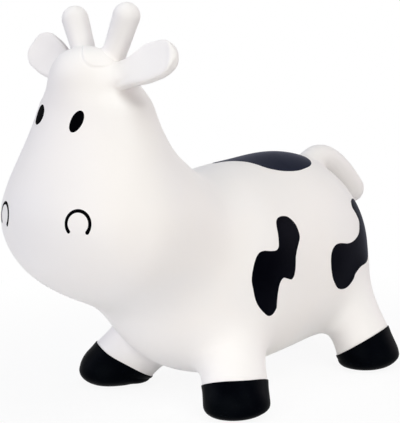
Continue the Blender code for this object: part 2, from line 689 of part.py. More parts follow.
def mark_points(grid, centre, turn, rise, spin=0):
    # Where a flat grid of (across, up) lands on the skin, and the skin's facing there
    turn = math.radians(turn)
    rise = math.radians(rise)
    toward = np.array((math.sin(turn) * math.cos(rise), -math.cos(turn) * math.cos(rise), math.sin(rise)))
    right = np.array((math.cos(turn), math.sin(turn), 0.0))
    upward = np.cross(toward, right)
    spin = math.radians(spin)
    across = grid[:, :1] * math.cos(spin) - grid[:, 1:] * math.sin(spin)
    rising = grid[:, :1] * math.sin(spin) + grid[:, 1:] * math.cos(spin)
    origins = np.array(centre) + across * right + rising * upward + toward * MARK_STANDOFF
    landed = first_crossing(skin_field, origins, np.tile(-toward, (len(grid), 1)))
    return landed, field_facing(skin_field, landed)


def mark_piece(name, grid, place, material):
    # A film of paint over a grid of rows and columns laid on the skin
    rows, columns = grid.shape[:2]
    landed, facing = mark_points(grid.reshape(-1, 2), *place)
    mesh = bmesh.new()
    layers = []
    for height in (PAINT_GAP, PAINT_GAP + PAINT_FILM):
        points = (landed + facing * height).reshape(rows, columns, 3)
        layers.append(ring_vertices(mesh, points))
    for layer in layers:
        for lower, upper in zip(layer, layer[1:]):
            for index in range(columns - 1):
                mesh.faces.new((lower[index], lower[index + 1], upper[index + 1], upper[index]))
    edges = []
    for layer in layers:
        loop = layer[0][:-1] + [row[-1] for row in layer[:-1]]
        loop += layer[-1][:0:-1] + [row[0] for row in layer[:0:-1]]
        edges.append(loop)
    join_rings(mesh, edges)
    return add_object(name, mesh, material)


def patch_grid(pairs, size):
    # Rows across a patch, in columns no wider than the named width
    pairs = np.array(pairs) * size
    widest = np.linalg.norm(pairs[:, 1] - pairs[:, 0], axis=1).max()
    columns = math.ceil(widest / PATCH_COLUMN_WIDTH) + 1
    blend = np.linspace(0, 1, columns)[None, :, None]
    return pairs[:, :1] * (1 - blend) + pairs[:, 1:] * blend


def eye_grid():
    # An upright ellipse in rows that widen from its top and narrow to its foot
    climb = np.linspace(-0.46, 0.46, 9)[:, None] * math.pi
    sweep = np.linspace(-1, 1, MARK_COLUMNS)[None, :]
    across = np.cos(climb) * sweep * EYE_HALF_WIDTH
    rising = np.sin(climb) * EYE_HALF_HEIGHT * np.ones_like(sweep)
    return np.stack([across, rising], axis=2)


def nostril_grid():
    # A horseshoe stroke, open at the foot
    turn = np.radians(np.linspace(*NOSTRIL_SWEEP, 14))[:, None]
    radius = NOSTRIL_RADIUS + np.array((-0.5, 0.0, 0.5))[None, :] * NOSTRIL_STROKE
    return np.stack([np.cos(turn) * radius, np.sin(turn) * radius], axis=2)


def painted_marks(material):
    for name, (pairs, size, *place) in PATCHES.items():
        mark_piece(name, patch_grid(pairs, size), place, material)
    for hand, flip in (("left", 1), ("right", -1)):
        side = np.array((flip, 1, 1))
        eye_place = (np.array(EYE_CENTRE) * side, EYE_TURN * flip, EYE_RISE, EYE_LEAN * flip)
        mark_piece("eye_" + hand, eye_grid(), eye_place, material)
        nostril_place = (np.array(NOSTRIL_CENTRE) * side, NOSTRIL_TURN * flip, 0)
        mark_piece("nostril_" + hand, nostril_grid(), nostril_place, material)


def socket_cutters():
    # Rooms for the limbs' root balls and the ears' knuckles, each for the skin it opens
    torso_tools = []
    head_tools = []
    for name in PAINT_FACINGS:
        plan = leg_plan(name)
        room = plan["ball"] + SOCKET_GAP
        torso_tools.append(ball_cutter("socket_" + name, plan["pivot"], (room,) * 3, np.eye(3)))
    room = TAIL_BALL_RADIUS + SOCKET_GAP
    torso_tools.append(ball_cutter("socket_tail", TAIL_ROOT, (room,) * 3, np.eye(3)))
    torso_tools.append(tail_bed_cutter())
    torso_tools.append(valve_hole_cutter())
    for hand, flip in (("left", 1), ("right", -1)):
        horn = np.array(HORN_ROOT) * (flip, 1, 1)
        room = HORN_BALL_RADIUS + SOCKET_GAP
        head_tools.append(ball_cutter("socket_horn_" + hand, horn, (room,) * 3, np.eye(3)))
        root, along, width, face = ear_frame(hand)
        half = EAR_ROOT_WIDTH / 2 + SOCKET_GAP
        thick = EAR_ROOT_THICKNESS / 2 + SOCKET_GAP
        head_tools.append(ball_cutter("socket_ear_" + hand, root, (thick, half, thick),
                                      (along, width, face)))
    return torso_tools, head_tools


def build():
    for item in list(bpy.data.objects):
        bpy.data.objects.remove(item, do_unlink=True)
    white = painted("white_skin", (0.87, 0.86, 0.84), 0.45)
    black = painted("black_paint", (0.012, 0.013, 0.022), 0.42)
    valve_white = painted("valve_plastic", (0.75, 0.75, 0.74), 0.5)
    torso = skin_piece("torso_skin", torso_sections(), white)
    head = skin_piece("head_skin", head_sections(), white)
    torso_tools, head_tools = socket_cutters()
    for tool in torso_tools:
        cut(torso, tool)
    for tool in head_tools:
        cut(head, tool)
    for name in PAINT_FACINGS:
        leg_piece(name, white)
        hoof_piece(name, black)
    for hand in ("left", "right"):
        horn_piece(hand, white)
        ear_piece(hand, white)
    tail_piece(white)
    painted_marks(black)
    valve_pieces(valve_white, valve_white)


build()
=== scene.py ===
import math

import bpy
import numpy as np
from mathutils import Matrix, Vector


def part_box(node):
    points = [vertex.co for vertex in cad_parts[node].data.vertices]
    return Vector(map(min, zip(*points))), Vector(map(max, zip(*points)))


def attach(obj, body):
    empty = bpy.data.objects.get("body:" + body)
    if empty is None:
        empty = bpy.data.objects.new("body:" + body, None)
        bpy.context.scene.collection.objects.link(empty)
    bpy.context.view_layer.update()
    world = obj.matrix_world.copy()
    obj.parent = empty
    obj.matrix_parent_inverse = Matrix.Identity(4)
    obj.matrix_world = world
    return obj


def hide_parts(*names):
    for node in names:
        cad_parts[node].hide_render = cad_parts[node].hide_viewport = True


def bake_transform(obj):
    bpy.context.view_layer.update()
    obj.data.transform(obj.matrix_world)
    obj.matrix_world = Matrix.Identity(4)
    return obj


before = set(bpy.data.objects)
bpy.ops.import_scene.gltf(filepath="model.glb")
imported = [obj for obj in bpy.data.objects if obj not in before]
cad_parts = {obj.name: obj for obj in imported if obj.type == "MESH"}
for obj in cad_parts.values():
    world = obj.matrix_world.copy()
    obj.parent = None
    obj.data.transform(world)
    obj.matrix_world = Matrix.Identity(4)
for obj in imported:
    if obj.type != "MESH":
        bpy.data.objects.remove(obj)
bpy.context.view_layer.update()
print("frame loaded")


# The camera stands ahead of the cow and to its left, a little above level
photoView = {"turn": 44.6648, "rise": 10.1095, "roll": -1.6368, "distance": 1.9674,
             "target": (-0.02056, 0.0, 0.21857), "lens": 134.75, "film": 36}

# The swellings of the skin, in metres, and how far each melts into the next
skinForm = {
    "rump": {"centre": (0, .1395, .1615), "radii": (.0895, .126, .1065), "pitch": -43},
    "belly": {"centre": (0, .008, .126), "radii": (.0925, .151, .1), "pitch": 0},
    "chest": {"centre": (0, -.017, .1735), "radii": (.0905, .089, .056), "pitch": 58},
    "muzzle": {"centre": (0, -.2255, .2475), "radii": (.0665, .0265, .0425), "pitch": -12},
    "throat": {"centre": (0, -.1185, .2175), "radii": (.087, .074, .0795), "pitch": 0},
    "crown": {"centre": (0, -.1995, .406), "radii": (.038, .036, .032), "pitch": 0},
    "cheek": (0, -.1955, .2415), "cheekRadius": .0825,
    "brow": (0, -.185, .3595), "browRadius": .0575, "headWidth": 1.286,
    "torsoMelt": .138, "headMelt": .106, "crownMelt": .037, "neckMelt": .1005,
    "earHollow": (.0565, -.184, .3875), "hollowSize": (.032, .034, .0125), "hollowDepth": .0068,
}


def unit(vector):
    vector = np.asarray(vector, float)
    return vector / np.linalg.norm(vector, axis=-1, keepdims=True)


def easeStep(value):
    value = np.clip(value, 0, 1)
    return value * value * (3 - 2 * value)


def fullTurn(count):
    # Evenly spaced angles round a circle
    return np.linspace(0, 2 * math.pi, count, endpoint=False)


def circle(count):
    # Level directions, evenly spaced round an upright axis
    turn = fullTurn(count)
    return np.stack([np.cos(turn), np.sin(turn), 0 * turn], axis=-1)


def spokes(turn, first, second):
    # The ways out at each turn from a first direction toward a second
    return np.cos(turn)[..., None] * first + np.sin(turn)[..., None] * second


def mirror(hand):
    # What carries a place on the left over to the side of a hand
    return np.array((1 if hand == "left" else -1, 1, 1))


def heading(turn, rise):
    # The way out to what stands so far round from the front and so far above level
    turn, rise = math.radians(turn), math.radians(rise)
    return np.array((math.sin(turn) * math.cos(rise), -math.cos(turn) * math.cos(rise),
                     math.sin(rise)))


# How often the bracket of each kind of search is halved
halvings = {"ray": 22, "ring": 24, "paint": 26, "skirt": 20}


def halve(passed, low, high, steps):
    # Halves the span between low and high, and keeps the half where a test comes to pass
    for _ in range(steps):
        middle = (low + high) / 2
        above = passed(middle)
        high = np.where(above, middle, high)
        low = np.where(above, low, middle)
    return low, high


def intoScene(name, data):
    # A new object at the origin that holds the data
    made = bpy.data.objects.new(name, data)
    bpy.context.scene.collection.objects.link(made)
    return made


def swelling(points, form):
    # Distance to an ellipsoid: the scaled radius less one, over the slope of that radius
    offset = points - np.array(form["centre"])
    pitch = math.radians(form["pitch"])
    along = offset[..., 1] * math.cos(pitch) + offset[..., 2] * math.sin(pitch)
    above = offset[..., 2] * math.cos(pitch) - offset[..., 1] * math.sin(pitch)
    local = np.stack([offset[..., 0], along, above], axis=-1)
    radii = np.array(form["radii"])
    scaled = np.linalg.norm(local / radii, axis=-1)
    slope = np.linalg.norm(local / radii ** 2, axis=-1)
    return scaled * (scaled - 1) / np.maximum(slope, 1e-9)


def taper(points, start, end, startRadius, endRadius):
    # Distance to the hull of two balls: the nearer of its tapered side and its two round ends
    start = np.array(start, float)
    line = np.array(end, float) - start
    reach = line @ line
    drop = startRadius - endRadius
    lean = reach - drop * drop
    offset = points - start
    along = offset @ line
    beyond = along - reach
    across = np.sum((offset * reach - along[..., None] * line) ** 2, axis=-1)
    key = math.copysign(1, drop) * drop * drop * across
    nearEnd = np.sign(beyond) * lean * beyond * beyond * reach > key
    nearStart = np.sign(along) * lean * along * along * reach < key
    side = (np.sqrt(across * lean / reach) + along * drop) / reach - startRadius
    endBall = np.sqrt(across + beyond * beyond * reach) / reach - endRadius
    startBall = np.sqrt(across + along * along * reach) / reach - startRadius
    return np.where(nearEnd, endBall, np.where(nearStart, startBall, side))


def melt(first, second, reach):
    # The lesser of two distances, less a cube of how nearly equal they are
    near = np.maximum(reach - np.abs(first - second), 0) / reach
    return np.minimum(first, second) - near ** 3 * reach / 6


def skinField(points):
    # Distance to the whole skin without its limbs: three torso swellings, then four of the
    # head, and a bell-shaped hollow under each ear
    form = skinForm
    torso = melt(swelling(points, form["rump"]), swelling(points, form["belly"]), form["torsoMelt"])
    torso = melt(torso, swelling(points, form["chest"]), form["torsoMelt"])
    narrowed = points / np.array((form["headWidth"], 1, 1))
    column = taper(narrowed, form["cheek"], form["brow"], form["cheekRadius"], form["browRadius"])
    head = melt(swelling(points, form["muzzle"]), column, form["headMelt"])
    head = melt(head, swelling(points, form["crown"]), form["crownMelt"])
    head = melt(head, swelling(points, form["throat"]), form["torsoMelt"])
    mirrored = np.abs(points) * (1, 0, 0) + points * (0, 1, 1)
    offset = (mirrored - form["earHollow"]) / form["hollowSize"]
    hollow = form["hollowDepth"] * np.exp(-np.sum(offset ** 2, axis=-1))
    return melt(torso, head, form["neckMelt"]) + hollow


def facing(field, points, step=.0002):
    # Outward directions: the slope of the field along each axis
    slopes = [field(points + axis * step) - field(points - axis * step) for axis in np.eye(3)]
    return unit(np.stack(slopes, axis=-1))


def landOn(field, origins, directions, reach=.26, steps=72):
    # Where rays first change side of a field: a march to bracket it, then halvings
    origins = np.broadcast_to(origins, directions.shape)
    low = np.zeros(directions.shape[:-1])
    high = np.full(directions.shape[:-1], reach)
    startSide = field(origins) > 0
    found = np.zeros(low.shape, bool)
    for distance in np.linspace(0, reach, steps)[1:]:
        crossed = (field(origins + directions * distance) > 0) != startSide
        high = np.where(crossed & ~found, distance, high)
        found |= crossed
        low = np.where(found, low, distance)

    def crossing(distance):
        return (field(origins + directions * distance[..., None]) > 0) != startSide

    return origins + directions * halve(crossing, low, high, halvings["ray"])[1][..., None]


def gridPiece(name, grid, material, poles=(None, None), closedAlong=False):
    # A mesh over a grid of rows and columns, which closes round each row and ends in poles
    rows, columns = grid.shape[:2]
    index = np.arange(rows * columns).reshape(rows, columns)
    right = np.roll(index, -1, axis=1)
    lower, upper = (index, right), (np.roll(index, -1, axis=0), np.roll(right, -1, axis=0))
    if not closedAlong:
        lower, upper = (index[:-1], right[:-1]), (index[1:], right[1:])
    faces = np.stack([lower[0], lower[1], upper[1], upper[0]], axis=-1).reshape(-1, 4).tolist()
    points = [grid.reshape(-1, 3)]
    for pole, row, turn in ((poles[0], 0, -1), (poles[1], -1, 1)):
        if pole is not None:
            tip = sum(len(part) for part in points)
            points.append(np.array(pole, float).reshape(1, 3))
            around = np.stack([index[row], right[row], np.full(columns, tip)], axis=-1)
            faces += around[:, ::turn].tolist()
    mesh = bpy.data.meshes.new(name)
    mesh.from_pydata(np.concatenate(points), [], faces)
    mesh.update()
    if enclosed(mesh) < 0:
        mesh.flip_normals()
    mesh.shade_smooth()
    mesh.materials.append(material)
    return intoScene(name, mesh)


def enclosed(mesh):
    # Six times the volume inside a closed mesh: the sum of corner triple products
    mesh.calc_loop_triangles()
    corners = np.zeros(len(mesh.loop_triangles) * 3, np.int32)
    mesh.loop_triangles.foreach_get("vertices", corners)
    points = np.zeros(len(mesh.vertices) * 3)
    mesh.vertices.foreach_get("co", points)
    first, second, third = points.reshape(-1, 3)[corners.reshape(-1, 3)].transpose(1, 0, 2)
    return np.sum(first * np.cross(second, third))


# The line that the skin's sections follow: through the torso, round the nape and up the head
spine = {"rumpEnd": .130, "napeAt": -.057, "napeHeight": .302, "napeRadius": .142,
         "headTop": .380, "around": 256, "rumpRows": 26, "torsoRows": 76, "napeRows": 72,
         "headRows": 44, "crownRows": 80}
# The forelock is a shallow tongue of skin that comes down from between the horns to the left
forelock = {"across": (.711, .703, 0), "upward": (-.123, .125, .985), "centre": (-.1205, .4015),
            "half": (.0208, .0222), "power": 2.6, "rise": .0013, "edge": .11, "groove": .0004,
            "above": .4, "fullFacing": .3}


def spineRows():
    # Centres, directions and tilts of the sections, from the rump's pole to the crown's
    form = spine
    level = form["napeHeight"] - form["napeRadius"]
    tilts = -np.linspace(1, 0, form["rumpRows"] + 1)[1:-1] * math.pi / 2
    places = np.linspace(form["rumpEnd"], form["napeAt"], form["torsoRows"])
    bends = np.linspace(0, math.pi / 2, form["napeRows"] + 1)[1:]
    heights = np.linspace(form["napeHeight"], form["headTop"], form["headRows"] + 1)[1:]
    crownTilts = np.linspace(0, 1, form["crownRows"] + 1)[1:-1] * math.pi / 2
    bent = np.stack([0 * bends, form["napeAt"] - form["napeRadius"] * np.sin(bends),
                     form["napeHeight"] - form["napeRadius"] * np.cos(bends)], axis=1)
    headAt = form["napeAt"] - form["napeRadius"]
    centres = np.concatenate([
        np.tile((0, form["rumpEnd"], level), (len(tilts), 1)),
        np.stack([0 * places, places, 0 * places + level], axis=1),
        bent,
        np.stack([0 * heights, 0 * heights + headAt, heights], axis=1),
        np.tile((0, headAt, form["headTop"]), (len(crownTilts), 1))])
    normals = np.concatenate([
        np.tile((0, -1, 0), (len(tilts) + len(places), 1)),
        np.stack([0 * bends, -np.cos(bends), np.sin(bends)], axis=1),
        np.tile((0, 0, 1), (len(heights) + len(crownTilts), 1))])
    leans = np.concatenate([tilts, np.zeros(len(places) + len(bends) + len(heights)), crownTilts])
    return centres, normals, leans


def bodyPoints():
    # Each point is where a ray, fanned round its section, lands on the skin's field
    centres, normals, leans = spineRows()
    turn = fullTurn(spine["around"])
    side = np.array((1.0, 0, 0))
    upper = np.cross(normals, side)
    flat = spokes(turn, side, upper[:, None])
    leans = leans[:, None, None]
    directions = np.cos(leans) * flat + np.sin(leans) * normals[:, None]
    points = landOn(skinField, centres[:, None], directions)
    ends = landOn(skinField, centres[[0, -1]], np.array([-normals[0], normals[-1]], float))
    return points, ends


def raiseForelock(points):
    # Points inside a squarish oval rise by a smooth step of how far inside they lie, and a
    # bell-shaped groove runs round it
    form = forelock
    normals = facing(skinField, points)
    flat = points @ np.array((form["across"], form["upward"])).T - form["centre"]
    outward = np.sum(np.abs(flat / form["half"]) ** form["power"], axis=-1) ** (1 / form["power"])
    ahead = np.clip(normals @ np.cross(form["across"], form["upward"]) / form["fullFacing"], 0, 1)
    lift = (easeStep((1 - outward) / form["edge"]) * form["rise"]
            - form["groove"] * np.exp(-((outward - 1) / form["edge"] * 2) ** 2))
    return points + normals * (lift * ahead * (points[..., 2] > form["above"]))[..., None]


def meltPair(gap, reach):
    # Two distances with the given difference that melt into each other at exactly zero
    lesser = (np.maximum(reach - np.abs(gap), 0) / reach) ** 3 * reach / 6
    return lesser + np.maximum(gap, 0), lesser + np.maximum(-gap, 0)


def limbPoints(limb, along, away, around):
    # A limb's own space: along its line, then away from the line at a turn around it; behind
    # the line's start the same distance is carried round a ball instead
    centre, side, other = limb["line"](along)
    spread = spokes(around, side, other)
    if "axis" not in limb:
        return centre + away[..., None] * spread
    tilt = np.maximum(-along, 0) / away
    turned = np.cos(tilt)[..., None] * spread - np.sin(tilt)[..., None] * limb["axis"]
    return limb["line"](np.maximum(along, 0))[0] + away[..., None] * turned


def ringAway(limb, along, around, reach):
    # How far from the line the limb's surface lies, once the skin near it has melted in
    low = np.zeros(np.broadcast_shapes(along.shape, around.shape))
    along = np.broadcast_to(along, low.shape)
    around = np.broadcast_to(around, low.shape)
    radius = limb["radius"](along, around)

    def outside(away):
        return melt(away - radius, skinField(limbPoints(limb, along, away, around)), reach) > 0

    return halve(outside, low, radius + limb["melt"] / 2, halvings["ring"])[1]


# How far a limb's skirt stands over the skin at its edge, how it dips beyond it, and where
# its last row is hidden
skirtEdge = {"lift": .00003, "dip": .00022, "way": .006, "shares": (.15, .4, .7, 1),
             "hidden": .004, "above": .0004, "steps": 70}


def skirtPoints(limb, along, around, away, rows):
    # From a ring on the limb out over the skin: the two distances trade places along each
    # turn of the ring, and each point slides down the limb until the skin's distance is met
    reach = limb["skirt"](around)
    start = limbPoints(limb, along, away, around)
    gap = away - limb["radius"](along, around) - skinField(start)
    share = np.linspace(0, 1, rows)[1:, None]
    first, second = meltPair(gap * (1 - share) + reach * share, reach)
    # past the edge the rows dip under the skin by the square of their share of a short way
    beyond = np.array(skirtEdge["shares"])[:, None]
    hidden = skirtEdge["hidden"]
    first = np.concatenate([first, reach + skirtEdge["way"] * beyond, [reach - hidden]])
    dip = skirtEdge["lift"] - skirtEdge["dip"] * beyond ** 2 + 0 * reach
    second = np.concatenate([second + skirtEdge["lift"] * share, dip, [0 * reach - hidden]])
    top = np.broadcast_to(along + skirtEdge["above"], first.shape)
    foot = limb["deepest"]
    turns = np.broadcast_to(around, first.shape)

    def place(slide):
        return limbPoints(limb, slide, limb["radius"](slide, turns) + first, turns)

    high = top.copy()
    low = np.full(first.shape, foot)
    found = np.zeros(first.shape, bool)
    for step in np.linspace(0, 1, skirtEdge["steps"])[1:]:
        slide = top + (foot - top) * step
        under = skinField(place(slide)) < second
        low = np.where(under & ~found, slide, low)
        found |= under
        high = np.where(found, high, slide)

    def above(slide):
        return skinField(place(slide)) >= second

    return place(sum(halve(above, low, high, halvings["skirt"])) / 2)


def skirtFrom(limb, start, around, rows):
    # The skirt that begins on the ring of melted skin at one place along a limb
    along = np.full(len(around), start)
    away = ringAway(limb, along, around, limb["skirt"](around))
    return skirtPoints(limb, along, around, away, rows)


def straightLine(root, axis, side):
    # A line from the root along an axis, with two directions square to it
    axis = unit(axis)
    side = unit(np.array(side, float) - axis * (np.array(side, float) @ axis))
    other = np.cross(axis, side)
    return lambda along: (np.array(root) + np.asarray(along)[..., None] * axis, side, other)


def tapered(start, end, span, most=1):
    # A radius that changes evenly from one end of a limb to the other
    return lambda along, around: start + (end - start) * np.clip(along / span, 0, most) + 0 * around


def even(reach):
    # The same reach of melting at every turn
    return lambda around: reach + 0 * around


# Legs: two balls that a tapered leg spans, the paint line as a share of that span with the
# way that it faces and how far it sags, at what turn of the leg and how broadly, and the hoof,
# which stands a little proud of the leg above it and lifts toward the outer back of its sole
legForm = {
    "front": {"hip": (.060, -.0345, .0825), "foot": (.1085, -.0785, .0125),
              "radii": (.0365, .0415), "melt": .046},
    "rear": {"hip": (.0535, .1845, .1095), "foot": (.0965, .1845, .0125),
             "radii": (.028, .0395), "melt": .046},
    "slimmer": {"front_left": .0018}, "around": 112, "skirtRows": 60, "bend": .034, "ray": .09,
    "widest": .075, "mostRun": 1.3, "tuck": (.003, .0015), "deepest": -.11,
}
paintLine = {
    "front_left": {"share": .696, "facing": (-.28, .20, .94), "sags": ((.0015, 38, 32),)},
    "front_right": {"share": .739, "facing": (-.30, .47, .83), "sags": ((.0019, 71, 28),)},
    "rear_left": {"share": .79, "facing": (-.49, -.18, .85), "sags": ()},
    "rear_right": {"share": .79, "facing": (-.49, -.18, .85), "sags": ((.001, 120, 30),)},
}
hoofForm = {
    "proud": .0003, "flare": .0008, "flareFade": .007, "rows": 22, "soleRows": 9, "inset": .97,
    "lips": ((.0004, .002), (.0004, .0005), (.0002, .00015)), "footMelt": .006,
    "soles": {"front_left": (.0125, .0135), "front_right": (.018, .022),
              "rear_left": (.015, .018), "rear_right": (.015, .018)},
    "footShare": .75, "mostLift": .35, "liftBelow": .03,
    "lifts": {"front_left": (.0042, .0017, .0017), "front_right": (.0062, -.0003, .0034),
              "rear_left": (.0025, .0029, .0029), "rear_right": (.0025, -.0029, .0029)}}


def legLimb(name):
    # A leg's line, radius and melting reach, mirrored for the right side
    end, hand = name.split("_")
    form = legForm[end]
    flip = mirror(hand)
    hip, foot = np.array(form["hip"]) * flip, np.array(form["foot"]) * flip
    span = np.linalg.norm(foot - hip)
    wide, foots = form["radii"]
    foots -= legForm["slimmer"].get(name, 0)
    paint = paintLine[name]
    return {"hip": hip, "foot": foot, "axis": unit(foot - hip), "radii": (wide, foots),
            "line": straightLine(hip, foot - hip, (1, 0, 0)),
            "radius": tapered(wide, foots, span, legForm["mostRun"]),
            "melt": form["melt"], "skirt": even(form["melt"]),
            "deepest": legForm["deepest"], "sags": paint["sags"],
            "paintAt": hip + (foot - hip) * paint["share"], "paintAlong": span * paint["share"],
            "down": -unit(paint["facing"]) * flip}


def legField(limb):
    # The leg's taper melted into the skin
    return lambda points: melt(taper(points, limb["hip"], limb["foot"], *limb["radii"]),
                               skinField(points), limb["melt"])


def paintSlope(limb, around):
    # How fast the paint line runs down the leg: its plane's slope, and a bell at each sag
    axis, down = limb["axis"], limb["down"]
    _, side, other = limb["line"](0.0)
    spread = spokes(around, side, other)
    slope = -(spread @ down) / (axis @ down)
    for depth, middle, breadth in limb["sags"]:
        turned = (np.degrees(around) - middle + 180) % 360 - 180
        slope = slope + depth / limb["radii"][1] * np.exp(-(turned / breadth) ** 2)
    return slope, spread


def paintRing(limb, around):
    # Where the paint line cuts the melted leg, as places along it and away from it
    slope, _ = paintSlope(limb, around)

    def outside(away):
        along = limb["paintAlong"] + slope * away
        skin = skinField(limbPoints(limb, along, away, around))
        return melt(away - limb["radius"](along, around), skin, limb["melt"]) > 0

    none = np.zeros(len(around))
    away = halve(outside, none, none + legForm["widest"], halvings["paint"])[1]
    return limb["paintAlong"] + slope * away, away


def makeLeg(name, finish):
    limb = legLimb(name)
    around = fullTurn(legForm["around"])
    along, away = paintRing(limb, around)
    ring = limbPoints(limb, along, away, around)
    skirt = skirtPoints(limb, along, around, away, legForm["skirtRows"])
    down, inward = legForm["tuck"]
    tucked = ring + limb["axis"] * down - unit(ring - limb["paintAt"]) * inward
    grid = np.concatenate([tucked[None], ring[None], skirt])
    leg = gridPiece("leg_skin_" + name, grid, finish, poles=(limb["paintAt"], limb["hip"]))
    root = landOn(skinField, limb["hip"], limb["axis"][None], reach=legForm["ray"])[0]
    out = facing(skinField, root[None])[0]
    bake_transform(leg)
    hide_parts("leg_" + name)


def makeHoof(name, body, finish):
    # Rays fan from the paint line's plane to the level, and land on the leg's melted field;
    # the sole is drawn in by a quarter of an ellipse, and the top edge flares into a thin lip,
    # each row of which lies so far up and so far in
    limb = legLimb(name)
    form = hoofForm
    around = fullTurn(legForm["around"])
    sole, tuck = form["soles"][name]
    end = np.array((*limb["foot"][:2], sole))
    share = np.linspace(0, 1, form["rows"])[:, None, None]
    slope, spread = paintSlope(limb, around)
    first = unit(spread + slope[:, None] * limb["axis"])
    # where the paint line runs low, the wall ends lower still
    line = landOn(legField(limb), limb["paintAt"], first, reach=legForm["ray"])[:, 2]
    foot = melt(sole, line * form["footShare"], form["footMelt"])
    ends = np.concatenate([np.tile(end[:2], (len(foot), 1)), foot[:, None]], axis=1)
    centres = limb["paintAt"] + (ends - limb["paintAt"]) * share
    directions = unit(first * (1 - share) + unit(first * (1, 1, 0)) * share)
    wall = landOn(legField(limb), centres, directions, reach=legForm["ray"])
    outward = facing(legField(limb), wall)
    drop = np.linalg.norm(wall - wall[:1], axis=-1)
    swell = form["proud"] + form["flare"] * np.exp(-(drop / form["flareFade"]) ** 2)
    wall = wall + outward * swell[..., None] * (1 - share ** 3)
    ring = wall[-1].copy()
    ring[:, 2] = foot
    turn = np.linspace(0, math.pi / 2, form["soleRows"])[1:, None]
    inward = unit((ring - end) * (1, 1, 0))
    rounding = ring - inward * (tuck * foot / sole * (1 - np.cos(turn)))[..., None]
    rounding[..., 2] = foot * (1 - np.sin(turn))
    ground = end * (1, 1, 0)
    inset = ground + (rounding[-1] - ground) * form["inset"]
    lip = np.stack([wall[0] - limb["down"] * up - outward[0] * back for up, back in form["lips"]])
    grid = np.concatenate([lip, wall, rounding, inset[None]])
    # the sole lifts by the square of how far out a point lies, and more toward its lean
    offset = (grid - end)[..., :2] / limb["radii"][1]
    lift, *lean = form["lifts"][name]
    rise = np.sum(offset ** 2, axis=-1) * (lift + offset @ lean)
    rise = np.clip(rise, 0, foot * form["mostLift"])
    held = np.concatenate([np.zeros(len(lip)), share[:, 0, 0] ** 2, np.ones(len(rounding) + 1)])
    grid[..., 2] += rise * held[:, None] * np.maximum(1 - grid[..., 2] / form["liftBelow"], 0) ** 2
    hoof = gridPiece("hoof_paint_" + name, grid, finish, poles=(limb["paintAt"], ground))
    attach(hoof, body)
    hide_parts("hoof_" + name)


# Horns: a stalk that swells to a round tip, melted softly into the crown
hornForm = {"root": (.0235, -.1761, .4252), "tip": (.043, -.173, .4685), "radii": (.0134, .0155),
            "melt": .0115, "around": 72, "rows": 20, "skirtRows": 34, "capRows": 14,
            "startAlong": .016, "bend": .016, "poleBack": .02, "deepest": -.05,
            "longer": {"left": .0031, "right": -.0026}}


def makeHorn(hand, finish):
    form = hornForm
    flip = mirror(hand)
    root, tip = np.array(form["root"]) * flip, np.array(form["tip"]) * flip
    tip = tip + unit(tip - root) * form["longer"][hand]
    span = np.linalg.norm(tip - root)
    narrow, wide = form["radii"]
    axis = unit(tip - root)
    limb = {"line": straightLine(root, tip - root, (1, 0, 0)), "axis": axis,
            "radius": tapered(narrow, wide, span), "melt": form["melt"],
            "skirt": even(form["melt"]), "deepest": form["deepest"]}
    around = fullTurn(form["around"])
    skirt = skirtFrom(limb, form["startAlong"], around, form["skirtRows"])
    up = np.linspace(form["startAlong"], span, form["rows"])[:, None]
    away = ringAway(limb, up, around[None], form["melt"])
    stalk = limbPoints(limb, up + 0 * around, away, around[None])
    turn = np.linspace(0, math.pi / 2, form["capRows"])[1:-1, None] + 0 * around
    cap = limbPoints(limb, span + wide * np.sin(turn), wide * np.cos(turn), around[None])
    grid = np.concatenate([cap[::-1], stalk[::-1], skirt])
    poles = (tip + axis * wide, root - axis * form["poleBack"])
    horn = gridPiece("horn_skin_" + hand, grid, finish, poles=poles)
    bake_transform(horn)
    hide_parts("horn_" + hand)


# Ears: a thick slab with a flat, slightly dished front face, crisp at its edge and round at its
# back, which runs smoothly into the brow in front and meets the head in a crease below
earForm = {"root": {"left": (.0515, -.1870, .4057), "right": (.0461, -.1816, .4045)},
           "tip": (.1205, -.172, .4335), "faces": (.02, -.87, .47),
           "shorter": {"left": 0, "right": .0045}, "higher": {"left": -.0034, "right": .0055},
           "topShare": {"left": 1.1, "right": .99}, "swell": {"left": .0022, "right": 0},
           "swellAt": .47, "swellReach": .2, "rootWidth": .034, "width": .046, "widenBy": .55,
           "front": .0070, "back": .0095, "frontPower": 5.5, "backPower": 2.3,
           "dish": .0014, "dishFrom": .22, "dishOver": .35, "dishTip": .16, "tipRound": .0075,
           "meltFront": .026, "meltTop": .011, "meltUnder": .004, "meltBack": .012, "melt": .026,
           "meltLate": (.12, .38), "meltFull": 1.13, "around": 128, "rows": 56, "skirtRows": 34,
           "startAlong": {"left": .012, "right": .017}, "bend": .022, "poleBack": .02,
           "deepest": -.06, "fineTurns": 1441, "evenAt": .6}


def evenTurns(radius, count):
    # Turns round a section, spread by its length and by how much its outline bends
    turn = np.linspace(0, 2 * math.pi, earForm["fineTurns"])
    outline = radius(turn)[:, None] * np.stack([np.cos(turn), np.sin(turn)], axis=1)
    steps = np.diff(outline, axis=0)
    length = np.linalg.norm(steps, axis=1)
    bearing = np.unwrap(np.arctan2(steps[:, 1], steps[:, 0]))
    bend = np.abs(np.diff(bearing, append=bearing[:1] + 2 * math.pi))
    weight = np.cumsum(length / length.sum() + bend / bend.sum())
    return np.interp(np.arange(count) / count * weight[-1], np.concatenate([[0], weight]), turn)


